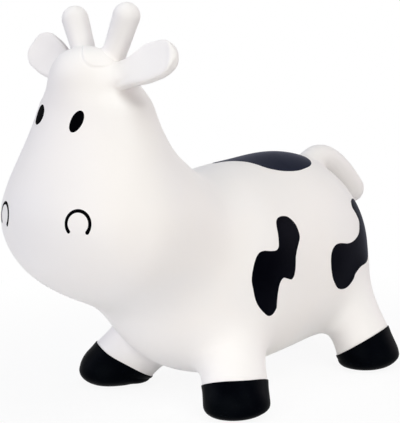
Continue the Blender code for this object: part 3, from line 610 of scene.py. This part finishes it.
def earLimb(hand):
    # The ear's line and its section, a round back half and a flat front half, by powers
    form = earForm
    flip = mirror(hand)
    root, tip = np.array(form["root"][hand]) * flip, np.array(form["tip"]) * flip
    tip[2] += form["higher"][hand]
    axis = unit(tip - root)
    tip = tip - axis * form["shorter"][hand]
    front = np.array(form["faces"]) * flip
    front = unit(front - axis * (front @ axis))
    width = np.cross(axis, front) * -flip[0]
    span = np.linalg.norm(tip - root)

    def halves(along):
        share = np.clip(along / span, 0, 1)
        narrow, wide = form["rootWidth"], form["width"]
        half = narrow + (wide - narrow) * easeStep(share / form["widenBy"])
        rounded, deep = (
            np.sqrt(np.clip(1 - (np.clip(share - start, 0, 1) / (1 - start)) ** 2, 1e-6, 1))
            for start in (1 - wide / 2 / span, 1 - form["tipRound"] / span))
        return half / 2 * rounded, deep

    def radius(along, around):
        half, deep = halves(np.asarray(along, float))
        top, ahead = np.cos(around) > 0, np.sin(around) > 0
        bulge = np.exp(-((np.asarray(along) / span - form["swellAt"]) / form["swellReach"]) ** 2)
        share = form["topShare"][hand]
        half = np.where(top, half * share + form["swell"][hand] * bulge, half * (2 - share))
        thick = np.where(ahead, form["front"], form["back"]) * deep
        power = np.where(ahead, form["frontPower"], form["backPower"])
        shape = (np.abs(np.cos(around)) / half) ** power + (np.abs(np.sin(around)) / thick) ** power
        return shape ** (-1 / power)

    def skirt(around):
        # the reach of the melting, turn by turn
        up, ahead = np.cos(around), np.sin(around)
        sides = np.where(up > 0, form["meltTop"], form["meltUnder"])
        faces = np.where(ahead > 0, form["meltFront"], form["meltBack"])
        late = np.where(up > 0, *form["meltLate"])
        return sides + (faces - sides) * easeStep(np.abs(ahead) * (form["meltFull"] + late) - late)

    return {"root": root, "tip": tip, "axis": axis, "front": front, "span": span,
            "line": lambda along: (root + np.asarray(along)[..., None] * axis, width, front),
            "radius": radius, "halves": halves, "melt": form["melt"], "skirt": skirt,
            "deepest": form["deepest"]}


def makeEar(hand, finish):
    form = earForm
    limb = earLimb(hand)
    middle = limb["span"] * form["evenAt"]
    around = evenTurns(lambda turn: limb["radius"](middle, turn), form["around"])
    start = form["startAlong"][hand]
    skirt = skirtFrom(limb, start, around, form["skirtRows"])
    share = np.sin(np.linspace(0, math.pi / 2, form["rows"]))[:-1, None]
    out = start + (limb["span"] - start) * share
    distance = ringAway(limb, out, around[None], limb["skirt"](around))
    paddle = limbPoints(limb, out + 0 * around, distance, around[None])
    # the front face sinks most along its middle, and not at all at its edge and near the root
    across = distance * np.cos(around) / limb["halves"](out)[0]
    ahead = np.sin(around) > 0
    reached = out / limb["span"]
    outer = easeStep((1 - reached) / form["dishTip"])
    window = easeStep((reached - form["dishFrom"]) / form["dishOver"]) * outer
    sunk = form["dish"] * window * ahead * np.clip(1 - across ** 2, 0, 1)
    grid = np.concatenate([(paddle - limb["front"] * sunk[..., None])[::-1], skirt])
    poles = (limb["tip"], limb["root"] - limb["axis"] * form["poleBack"])
    ear = gridPiece("ear_skin_" + hand, grid, finish, poles=poles)
    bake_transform(ear)
    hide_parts("ear_" + hand)


# Tail: a thick cord that leaves the rump, arches over and hangs down behind it
tailForm = {"root": (0, .183, .257), "crest": (0, .2165, .2815), "tip": (0, .2685, .2135),
            "radii": (.0155, .019), "melt": .016, "around": 72, "rows": 44, "skirtRows": 34,
            "startShare": .3, "meltFade": .3, "leastMelt": .0008, "capRows": 14, "bend": .02,
            "bendFrom": .004, "poleBack": (0, .02, .02), "deepest": -.9}


def tailLimb():
    # The tail's line bends through three points, and runs straight on past both ends
    form = tailForm
    root, crest, tip = (np.array(form[key]) for key in ("root", "crest", "tip"))
    narrow, wide = form["radii"]

    def line(share):
        share = np.asarray(share)[..., None]
        held = np.clip(share, 0, 1)
        centre = (1 - held) ** 2 * root + 2 * held * (1 - held) * crest + held ** 2 * tip
        slope = 2 * (1 - held) * (crest - root) + 2 * held * (tip - crest)
        centre = centre + slope * (share - held)
        axis = unit(slope)
        side = np.broadcast_to((1.0, 0, 0), axis.shape)
        return centre, side, np.cross(axis, side)

    return {"line": line, "radius": tapered(narrow, wide, 1), "melt": form["melt"],
            "skirt": even(form["melt"]), "deepest": form["deepest"]}


def makeTail(finish):
    form = tailForm
    limb = tailLimb()
    around = fullTurn(form["around"])
    skirt = skirtFrom(limb, form["startShare"], around, form["skirtRows"])
    share = np.linspace(form["startShare"], 1, form["rows"])[:, None]
    fade = np.clip((share - form["startShare"]) / form["meltFade"], 0, 1)
    reach = form["melt"] * (1 - fade) + form["leastMelt"]
    away = ringAway(limb, share, around[None], reach)
    cord = limbPoints(limb, share + 0 * around, away, around[None])
    wide = form["radii"][1]
    centre, side, other = limb["line"](np.array([1.0]))
    axis = np.cross(side[0], other[0])
    turn = np.linspace(0, math.pi / 2, form["capRows"])[1:-1, None, None]
    spread = spokes(around, side[0], other[0])
    cap = centre[0] + wide * (np.cos(turn) * spread[None] + np.sin(turn) * axis)
    grid = np.concatenate([cap[::-1], cord[::-1], skirt])
    root = np.array(form["root"])
    poles = (centre[0] + axis * wide, root - form["poleBack"])
    tail = gridPiece("tail_skin", grid, finish, poles=poles)
    out = facing(skinField, root[None])[0]
    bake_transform(tail)
    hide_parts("tail")


# Painted marks, in millimetres across and up as seen square on: each row holds a left and a
# right edge point, then come the mark's centre on the object, its turn, rise and spin
flankRows = (
    (11.6, 52.7, 21.2, 53.1), (5.6, 49.6, 31.1, 50.1), (2.6, 44.2, 39.5, 41.5),
    (.6, 35.7, 42.1, 31), (-1.7, 27.1, 41.2, 24.4), (-4.3, 20.7, 36.9, 18.9),
    (-9.7, 17.8, 33.5, 15), (-18.6, 18.5, 29.7, 9.9), (-28.2, 20.3, 26.6, 3.9),
    (-35.2, 19.4, 25.3, -2.3), (-38.2, 17.6, 24.1, -9), (-40.7, 15.4, 22.7, -14.2),
    (-43.7, 11.6, 20.4, -19), (-46.4, 6.8, 16.3, -21.7), (-48.6, 1.3, 11.2, -20.5),
    (-50.4, -4.4, 6.8, -17.9), (-51.3, -11, 2.4, -16.6), (-50.6, -17.3, -1.9, -17.5),
    (-49.2, -22.6, -5.6, -20.6), (-48, -27.5, -7.9, -25.7), (-45.6, -34.6, -9.1, -33.5),
    (-42, -41.6, -9.1, -41.5), (-36.7, -48.4, -8.5, -48), (-28.5, -56, -8.2, -53),
    (-20.8, -60.6, -13, -59.3))
thighRows = (
    (1, 57.3, 13, 58.5), (-3.1, 54.6, 26, 55), (-6, 49.4, 34, 48), (-2.1, 41.3, 38, 39),
    (.2, 31.2, 40, 27), (-5.5, 22.9, 38, 17), (-12.8, 16.9, 36, 8), (-23.7, 13.1, 30, -3),
    (-35.5, 11.4, 24, -14), (-46.2, 12.2, 13, -22), (-54.9, 14.7, -1.4, -25.1),
    (-63, 16.9, -17, -25.8), (-72, 16.8, -28.5, -31), (-79.8, 11.4, -33.5, -38.5),
    (-83.2, .6, -43.5, -44.7), (-81.7, -13, -56, -43), (-76.7, -24.8, -66, -37.3))
backRows = (
    (-81, 19, -79, 25), (-75, 14, -68, 32), (-67, 7.5, -56, 38), (-60.5, -3, -44, 40),
    (-54.5, -13.5, -33, 41), (-50.5, -23, -24, 41), (-46, -32, -15, 41), (-39, -38.6, -6, 41),
    (-26.5, -44.4, 3, 40), (-10, -47.5, 12, 39), (3, -47.6, 20, 37), (15, -45.6, 27, 33),
    (28, -42, 34, 26), (38.5, -36.5, 42, 16), (46.5, -28.5, 49, 2), (51, -19, 52, -9))
patches = {
    "back": (backRows, 1, (5.5, 102, 270.5), 90, 90, 0),
    "flank_left": (flankRows, 1, (104.8, 3, 168.6), 90, 0, 0),
    "thigh_left": (thighRows, 1, (72.5, 182.7, 156.9), 125, 8, 0),
    "flank_right": (flankRows, 1, (-105, -8, 160), -90, 0, 180),
    "thigh_right": (backRows, .7, (-76, 158, 178), -112, 10, 64),
}
faceMarks = {
    "eye_left": {"centre": (31.0, -240.9, 359.8), "turn": 25, "rise": 12, "lean": -24,
                 "half": (7.7, 13)},
    "eye_right": {"centre": (-34.9, -239.1, 363.4), "turn": -25, "rise": 12, "lean": -15,
                  "half": (11.3, 11.8)},
    "nostril_left": {"centre": (62.9, -273.2, 253.5), "turn": 24, "rise": 0, "lean": 0},
    "nostril_right": {"centre": (-62.9, -273.2, 250), "turn": -24, "rise": 0, "lean": 0},
    "nostrilRadius": 14.15, "nostrilStroke": 3.8, "nostrilSweep": (-40, 218), "nostrilFlare": .14,
    "flareReach": .35, "ovalRows": 62, "strokeRows": 120, "strokeColumns": 8}
ribbonForm = {"perPair": 9, "crowding": .11, "columns": 44}
film = {"rise": .00025, "edge": .0006, "sunk": .00004, "under": .0007, "backColumns": 9,
        "standOff": .12, "insets": (0, .00008, .0002, .0004, .0007, .0012), "mostInset": 1 / 2.4}


def closedCurve(loop, places):
    # A cubic through the points of a loop, whose slope at each is that between its neighbours
    whole = np.floor(places).astype(int)
    part = (places - whole)[:, None]
    before, start, end, after = (loop[(whole + step) % len(loop)] for step in (-1, 0, 1, 2))
    bend = 2 * before - 5 * start + 4 * end - after
    bend = bend + part * (3 * (start - end) + after - before)
    return start + part / 2 * (end - before + part * bend)


def ribbonEdges(rows, size):
    # Both edges of a ribbon as one smooth closed curve, cut where it turns back at each end
    pairs = np.array(rows, float).reshape(-1, 2, 2) * size / 1000
    loop = np.concatenate([pairs[:, 0], pairs[::-1, 1]])
    share = np.linspace(0, 1, ribbonForm["perPair"] * len(pairs))
    places = len(pairs) * (share - ribbonForm["crowding"] * np.sin(2 * math.pi * share)) - .5
    return closedCurve(loop, places), closedCurve(loop, len(loop) - 1 - places)


def wholeField(points):
    # The skin with all four legs melted in
    skin = skinField(points)
    field = skin
    for limb in map(legLimb, paintLine):
        leg = taper(points, limb["hip"], limb["foot"], *limb["radii"])
        field = np.minimum(field, melt(leg, skin, limb["melt"]))
    return field


def layOnSkin(flat, centre, turn, rise, spin):
    # Flat points, turned to face a way, are dropped square on to the skin
    toward = heading(turn, rise)
    turn, spin = math.radians(turn), math.radians(spin)
    right = np.array((math.cos(turn), math.sin(turn), 0))
    upward = np.cross(toward, right)
    across = flat[..., :1] * math.cos(spin) - flat[..., 1:] * math.sin(spin)
    rising = flat[..., :1] * math.sin(spin) + flat[..., 1:] * math.cos(spin)
    origins = np.array(centre) / 1000 + across * right + rising * upward + toward * film["standOff"]
    landed = landOn(wholeField, origins, np.broadcast_to(-toward, origins.shape))
    return landed, facing(wholeField, landed)


def makeMark(name, left, right, place, finish, columns=30):
    # A film over rows from edge to edge: its top rises by a smooth step of the distance to
    # the nearer edge, and its underside lies under the skin
    wide = np.linalg.norm(right - left, axis=-1)[1:-1, None]
    insets = np.array(film["insets"]) * np.minimum(1, wide * film["mostInset"] / film["insets"][-1])
    middle = np.linspace(0, 1, columns + 2)[1:-1]
    inner = insets[:, -1:] + (wide - 2 * insets[:, -1:]) * middle
    across = np.concatenate([insets, inner, wide - insets[:, ::-1]], axis=1)
    near = np.clip(np.minimum(across, wide - across) / film["edge"], 0, 1)
    lift = film["rise"] * near * (2 - near) - film["sunk"]
    back = wide * np.linspace(1, 0, film["backColumns"])
    across = np.concatenate([across, back], axis=1) / wide
    lift = np.concatenate([lift, np.full(back.shape, -film["under"])], axis=1)
    flat = left[1:-1, None] + (right - left)[1:-1, None] * across[..., None]
    landed, outward = layOnSkin(flat, *place)
    ends, endFacing = layOnSkin(np.stack([left[0] + right[0], left[-1] + right[-1]]) / 2, *place)
    ends = ends - endFacing * film["under"] / 2
    mark = gridPiece(name + "_paint", landed + outward * lift[..., None], finish, poles=ends)
    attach(mark, "body")
    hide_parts(name)


def makeMarks(finish, seatFinish, eyeFinish):
    form = faceMarks
    for name, (rows, size, *place) in patches.items():
        # the back patch takes the seat paint, whose lighter, bluer tone is a painted sheen
        paint = seatFinish if name == "back" else finish
        makeMark("patch_" + name, *ribbonEdges(rows, size), place, paint, ribbonForm["columns"])
    climb = np.linspace(-.5, .5, form["ovalRows"]) * math.pi
    across, rising = np.cos(climb), np.sin(climb)
    # the nostril's stroke keeps its width, flares a little and ends in half rounds
    low, high = np.radians(form["nostrilSweep"])
    cap = form["nostrilStroke"] / 2 / form["nostrilRadius"]
    share = np.linspace(0, 1, form["strokeRows"])
    turn = (low + high) / 2 + (high - low + 2 * cap) / 2 * np.sin((share - .5) * math.pi)
    fromEnd = np.minimum(turn - low, high - turn)
    flare = form["nostrilFlare"] * np.exp(-(fromEnd / form["flareReach"]) ** 2)
    half = form["nostrilStroke"] / 2 * (1 + flare)
    half = half * np.sqrt(np.clip(1 - np.clip(-fromEnd / cap, 0, 1) ** 2, 0, 1))
    spoke = np.stack([np.cos(turn), np.sin(turn)], axis=-1)
    nostril = [spoke * (form["nostrilRadius"] + side * half)[:, None] / 1000 for side in (-1, 1)]
    for name in ("eye_left", "eye_right", "nostril_left", "nostril_right"):
        mark = form[name]
        place = (mark["centre"], mark["turn"], mark["rise"], mark["lean"])
        if "half" in mark:
            wide, tall = mark["half"]
            edges = [np.stack([side * across * wide, rising * tall], axis=-1) / 1000
                     for side in (-1, 1)]
            makeMark(name, *edges, place, eyeFinish)
        else:
            makeMark(name, *nostril, place, eyeFinish, form["strokeColumns"])


# Valve: a flanged bush let into the belly, and a stopper with a domed head
valveForm = {"flange": .011, "flangeThick": .002, "bush": .0052, "bushLength": .012,
             "bore": .0034, "plugHead": .007, "plugThick": .0025, "rim": .0005,
             "domeWidth": .82, "domeRise": .0004, "domeRows": 14, "stem": .0031,
             "stemLength": .011, "stemStraight": .6, "stemTip": .85, "stemFoot": .0004,
             "tipCorner": .0006, "gap": .0003, "corner": .0006, "around": 64,
             "pocket": .0056, "pocketDepth": .0145, "toolBelow": .01}
upward = np.array((0, 0, 1))


def softCorners(profile, reach, steps=5, most=.45):
    # Each corner of a profile gives way to a curve from just before it to just after it
    profile = np.array(profile, float)
    before, after = np.roll(profile, 1, axis=0), np.roll(profile, -1, axis=0)
    cuts = []
    for other in (before, after):
        length = np.linalg.norm(other - profile, axis=1, keepdims=True)
        cuts.append(profile + (other - profile) * np.minimum(reach / length, most))
    share = np.linspace(0, 1, steps)[None, :, None]
    first, middle, last = cuts[0][:, None], profile[:, None], cuts[1][:, None]
    curve = (1 - share) ** 2 * first + 2 * share * (1 - share) * middle + share ** 2 * last
    return curve.reshape(-1, 2)


def turnedPiece(name, profile, centre, finish, body, node, poles=(None, None)):
    # A profile of radii and heights carried round an upright axis
    level = circle(valveForm["around"])
    grid = centre + profile[:, None, :1] * level + profile[:, None, 1:] * upward
    piece = gridPiece(name, grid, finish, poles=poles, closedAlong=poles[0] is None)
    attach(piece, body)
    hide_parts(node)


def makeValve(seatFinish, plugFinish):
    form = valveForm
    low, high = (np.array(corner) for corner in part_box("valve_seat"))
    centre = (low + high) / 2
    centre[2] = low[2]
    thick, top = form["flangeThick"], form["flangeThick"] + form["bushLength"]
    bore, flange, bush = (form[key] for key in ("bore", "flange", "bush"))
    seat = softCorners([(bore, 0), (flange, 0), (flange, thick), (bush, thick), (bush, top),
                        (bore, top)], form["corner"])
    turnedPiece("valve_seat_moulding", seat, centre, seatFinish, "body", "valve_seat")
    neck, head = -form["gap"], -form["gap"] - form["plugThick"]
    wide, stem, length = (form[key] for key in ("plugHead", "stem", "stemLength"))
    tip, corner = stem * form["stemTip"], form["tipCorner"]
    dome = np.linspace(0, 1, form["domeRows"])[1:]
    face = np.stack([wide * form["domeWidth"] * dome, head + form["domeRise"] * dome ** 2], axis=-1)
    rim = softCorners([(wide, head + form["rim"]), (wide, neck)], form["corner"] / 2)
    shaft = np.array([(stem + form["stemFoot"], neck), (stem, neck + form["stemFoot"]),
                      (stem, length * form["stemStraight"]), (tip, length - corner),
                      (tip - corner, length)])
    profile = np.concatenate([face, rim, shaft])
    turnedPiece("valve_stopper", profile, centre, plugFinish, "plug", "valve_plug",
                poles=(centre + upward * head, centre + upward * length))
    return centre


def makeBody(finish):
    # The torso and head in one skin, with a pocket that the valve's bush is let into
    points, ends = bodyPoints()
    body = gridPiece("body_skin", raiseForelock(points), finish, poles=ends)
    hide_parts("torso_skin", "head_skin")
    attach(body, "body")
    return body


def letIn(body, centre):
    # A round pocket is cut from the skin round the bush
    form = valveForm
    ring = circle(form["around"]) * form["pocket"]
    low, high = -upward * form["toolBelow"], upward * form["pocketDepth"]
    tool = gridPiece("pocket_tool", centre + ring + np.stack([low, high])[:, None],
                     body.data.materials[0], poles=(centre + low, centre + high))
    cut = body.modifiers.new("pocket", "BOOLEAN")
    cut.operation = "DIFFERENCE"
    cut.solver = "EXACT"
    cut.object = tool
    shown = body.evaluated_get(bpy.context.evaluated_depsgraph_get())
    cutMesh = bpy.data.meshes.new_from_object(shown)
    body.modifiers.remove(cut)
    body.data = cutMesh
    bpy.data.objects.remove(tool)


# Finishes: two tones that cloud into each other, least and most roughness, and the fineness of
# the clouds (patch), of the ripple (peel) and of the grain
painted = {"roughness": (.36, .48), "peel": 260, "grain": 1900, "patch": 26, "bump": .12}
finishes = {
    "whiteVinyl": {"tone": (.905, .878, .850), "otherTone": (.890, .872, .856),
                   "roughness": (.40, .52), "gloss": .12, "sheenTone": (1, 1, 1),
                   "peel": 210, "grain": 1500, "patch": 7, "bump": .10},
    # the black paints' blue specular tint and blue sheen tint are a painted reflection of bluish
    # light; the sheen itself is the paint's own
    "blueBlackPaint": {**painted, "tone": (.0005, .0006, .0014), "otherTone": (.0014, .0016, .0030),
                       "gloss": .01, "sheenTone": (.48, .56, 1), "sheenWeight": .05},
    # the seat paint's lighter, bluer tone is a painted sheen: light from above reflected by the
    # up-facing back patch
    "seatPaintPaintedSheen": {**painted, "tone": (.0085, .0105, .021), "otherTone": (.0125, .015, .027),
                        "gloss": .02, "sheenTone": (.48, .56, 1), "sheenWeight": .05},
    "eyeBlackPaint": {**painted, "tone": (.0006, .0007, .0012), "otherTone": (.0014, .0015, .0022),
                      "gloss": .002, "sheenTone": (1, 1, 1)},
    "hoofBlackPaint": {**painted, "tone": (.0005, .0008, .0018), "otherTone": (.0016, .0022, .0032),
                       "gloss": .01, "sheenTone": (.8, .88, 1), "roughness": (.34, .46)},
    "stopperVinyl": {"tone": (.80, .80, .79), "otherTone": (.74, .75, .76),
                     "roughness": (.30, .42), "gloss": .45, "sheenTone": (1, 1, 1),
                     "peel": 420, "grain": 2600, "patch": 60, "bump": .08},
}
# the sheen tint's blue is a painted reflection of bluish light
grainForm = {"noises": (("Cloud", 3), ("Peel", 2), ("Grain", 2)), "cloudEdges": (.35, .65),
             "grainShare": .22, "bumpDepth": .0006, "sheenRoughness": .35,
             "paintedBlueSheenTint": (.30, .36, 1, 1), "outputs": ("Cloud", "Roughness", "Height"),
             "inputs": ("Cloud Scale", "Peel Scale", "Grain Scale", "Least Roughness",
                        "Most Roughness")}


def fill(tree, node, inputs):
    # Each input of a node is linked to an output, or takes a value
    for name, value in inputs.items():
        if isinstance(value, bpy.types.NodeSocket):
            tree.links.new(value, node.inputs[name])
        else:
            node.inputs[name].default_value = value
    return node


def addNode(tree, kind, inputs=None, **settings):
    node = tree.nodes.new("ShaderNode" + kind)
    for name, value in settings.items():
        setattr(node, name, value)
    return fill(tree, node, inputs or {})


def mixShaders(tree, share, first, second):
    return addNode(tree, "MixShader", {"Fac": share, 1: first.outputs[0], 2: second.outputs[0]})


def mouldedGrain():
    # Soft moulded vinyl: broad cloudiness, an orange-peel ripple of a few millimetres, and grain
    form = grainForm
    group = bpy.data.node_groups.new("mouldedGrain", "ShaderNodeTree")
    group.interface.new_socket(name="Place", in_out="INPUT", socket_type="NodeSocketVector")
    for way, names in (("INPUT", form["inputs"]), ("OUTPUT", form["outputs"])):
        for name in names:
            group.interface.new_socket(name=name, in_out=way, socket_type="NodeSocketFloat")
    into, out = group.nodes.new("NodeGroupInput"), group.nodes.new("NodeGroupOutput")
    cloud, peel, grain = (
        addNode(group, "TexNoise", {"Detail": detail, "Vector": into.outputs["Place"],
                                    "Scale": into.outputs[name + " Scale"]}).outputs["Fac"]
        for name, detail in form["noises"])
    start, end = form["cloudEdges"]
    clouded = addNode(group, "MapRange", {"Value": cloud, "From Min": start, "From Max": end},
                      interpolation_type="SMOOTHSTEP")
    rough = addNode(group, "MapRange", {"Value": peel, "To Min": into.outputs["Least Roughness"],
                                        "To Max": into.outputs["Most Roughness"]})
    height = addNode(group, "Math", {0: grain, 1: form["grainShare"], 2: peel},
                     operation="MULTIPLY_ADD")
    fill(group, out, {"Cloud": clouded.outputs["Result"], "Roughness": rough.outputs["Result"],
                      "Height": height.outputs["Value"]})
    return group


def makeFinish(name, form, group):
    material = bpy.data.materials.new(name)
    material.use_nodes = True
    tree = material.node_tree
    scales = (form["patch"], form["peel"], form["grain"], *form["roughness"])
    place = addNode(tree, "TexCoord").outputs["Object"]
    grain = addNode(tree, "Group", {"Place": place, **dict(zip(grainForm["inputs"], scales))},
                    node_tree=group)
    tone = addNode(tree, "Mix", {"A": (*form["tone"], 1), "B": (*form["otherTone"], 1),
                                 "Factor": grain.outputs["Cloud"]}, data_type="RGBA")
    bump = addNode(tree, "Bump", {"Strength": form["bump"], "Distance": grainForm["bumpDepth"],
                                  "Height": grain.outputs["Height"]})
    # the paints' sheen shows most where they are seen edge on; its blue tint, like the blue tint of
    # their specular reflection, is a painted reflection of bluish light
    fill(tree, tree.nodes["Principled BSDF"], {
        "Base Color": tone.outputs["Result"], "Roughness": grain.outputs["Roughness"],
        "Normal": bump.outputs["Normal"], "Specular IOR Level": form["gloss"],
        "Specular Tint": (*form["sheenTone"], 1), "Sheen Weight": form.get("sheenWeight", 0),
        "Sheen Roughness": grainForm["sheenRoughness"], "Sheen Tint": grainForm["paintedBlueSheenTint"]})
    return material


grain = mouldedGrain()
finish = {name: makeFinish(name, form, grain) for name, form in finishes.items()}
skinFinish = finish["whiteVinyl"]
print("finishes made")

bodySkin = makeBody(skinFinish)
print("body skin made")
for legName in paintLine:
    makeLeg(legName, skinFinish)
    makeHoof(legName, legName + "_leg", finish["hoofBlackPaint"])
print("legs and hooves made")
for hand in ("left", "right"):
    makeHorn(hand, skinFinish)
    makeEar(hand, skinFinish)
makeTail(skinFinish)
print("horns, ears and tail made")
makeMarks(finish["blueBlackPaint"], finish["seatPaintPaintedSheen"], finish["eyeBlackPaint"])
print("marks made")
letIn(bodySkin, makeValve(skinFinish, finish["stopperVinyl"]))
print("valve made")

# Stage: a pale floor that fades into a white surround, as the camera sees it
stageForm = {"radius": .75, "floorTone": (.93, .93, .93), "floorRoughness": .8, "floorGloss": .1,
             "floorCorners": 96, "seenWhite": .91, "fadeFrom": .3, "fadeTo": .72,
             "ambient": (.83, .80, 1.0), "ambientStrength": .106, "lampSize": 1.6,
             "lampDistance": 3, "lampAim": (0, 0, .2)}
lamps = {
    "front": {"turn": 5, "rise": 20, "power": 21.6, "tone": (.989, 1, .969)},
    "low_front": {"turn": 33, "rise": 4, "power": 22.6, "tone": (1, .944, .935)},
    "side": {"turn": 85, "rise": 50, "power": 29.2, "tone": (.969, 1, .959)},
    "low_side": {"turn": 85, "rise": 15, "power": 17.8, "tone": (1, .956, .855)},
    "back": {"turn": 160, "rise": 12, "power": 17.7, "tone": (1, .871, .926)},
    "far": {"turn": -50, "rise": 20, "power": 24.2, "tone": (.793, .834, 1)},
    "top": {"turn": 0, "rise": 88, "power": 20.4, "tone": (.934, .965, 1)},
}


def seenDirectly(tree):
    # One where a camera, glossy or see-through ray looks, and nought for the rest
    path = addNode(tree, "LightPath")
    largest = path.outputs["Is Camera Ray"]
    for name in ("Is Glossy Ray", "Is Transmission Ray"):
        larger = addNode(tree, "Math", {0: largest, 1: path.outputs[name]}, operation="MAXIMUM")
        largest = larger.outputs["Value"]
    return largest


def makeFloor():
    # What is seen directly fades to white by a smooth step of the distance from the middle
    form = stageForm
    material = bpy.data.materials.new("paleFloor")
    material.use_nodes = True
    tree = material.node_tree
    lit = fill(tree, tree.nodes["Principled BSDF"], {
        "Base Color": (*form["floorTone"], 1), "Roughness": form["floorRoughness"],
        "Specular IOR Level": form["floorGloss"]})
    place = addNode(tree, "TexCoord").outputs["Object"]
    away = addNode(tree, "VectorMath", {0: place}, operation="LENGTH").outputs["Value"]
    fade = addNode(tree, "MapRange", {
        "Value": away, "From Min": form["fadeFrom"], "From Max": form["fadeTo"],
        "To Min": form["seenWhite"], "To Max": 1}, interpolation_type="SMOOTHSTEP")
    share = addNode(tree, "Math", {0: fade.outputs["Result"], 1: seenDirectly(tree)},
                    operation="MULTIPLY")
    above = mixShaders(tree, share.outputs["Value"], lit, addNode(tree, "Emission"))
    # the floor is clear from below, so that the underside can be looked at
    below = addNode(tree, "NewGeometry").outputs["Backfacing"]
    sides = mixShaders(tree, below, above, addNode(tree, "BsdfTransparent"))
    fill(tree, tree.nodes["Material Output"], {"Surface": sides.outputs[0]})
    ring = circle(form["floorCorners"]) * form["radius"]
    mesh = bpy.data.meshes.new("studio_floor")
    mesh.from_pydata(ring, [], [list(range(len(ring)))])
    mesh.materials.append(material)
    intoScene("studio_floor", mesh)


def makeSurround():
    form = stageForm
    world = bpy.data.worlds.new("surround")
    bpy.context.scene.world = world
    world.use_nodes = True
    tree = world.node_tree
    ambient = fill(tree, tree.nodes["Background"], {"Color": (*form["ambient"], 1),
                                                    "Strength": form["ambientStrength"]})
    white = addNode(tree, "Background", {"Color": (1, 1, 1, 1)})
    seen = mixShaders(tree, seenDirectly(tree), ambient, white)
    fill(tree, tree.nodes["World Output"], {"Surface": seen.outputs[0]})


def makeLamp(name, form):
    # A lamp stands off from the aim along its heading, and faces back along it
    away = heading(form["turn"], form["rise"])
    data = bpy.data.lights.new(name, "AREA")
    data.size, data.energy, data.color = stageForm["lampSize"], form["power"], form["tone"]
    lamp = intoScene(name, data)
    lamp.location = stageForm["lampAim"] + away * stageForm["lampDistance"]
    lamp.rotation_euler = Vector(away).to_track_quat("Z", "Y").to_euler()


def makeCamera():
    # The camera looks back along its turn and rise, and rolls about that line
    form = photoView
    turn, roll = math.radians(form["turn"]), math.radians(form["roll"])
    back = heading(form["turn"], form["rise"])
    level = np.array((math.cos(turn), math.sin(turn), 0))
    upright = np.cross(back, level)
    right = level * math.cos(roll) + upright * math.sin(roll)
    up = upright * math.cos(roll) - level * math.sin(roll)
    data = bpy.data.cameras.new("photo_camera")
    data.sensor_fit, data.sensor_height, data.lens = "VERTICAL", form["film"], form["lens"]
    camera = intoScene("photo_camera", data)
    place = np.array(form["target"]) + back * form["distance"]
    columns = [(*column, 0) for column in (right, up, back)] + [(*place, 1)]
    camera.matrix_world = Matrix(columns).transposed()
    bpy.context.scene.camera = camera


makeFloor()
makeSurround()
for lampName, lampForm in lamps.items():
    makeLamp(lampName + "_lamp", lampForm)
makeCamera()
bpy.context.scene.view_settings.view_transform = "Standard"
print("stage, light and camera made")
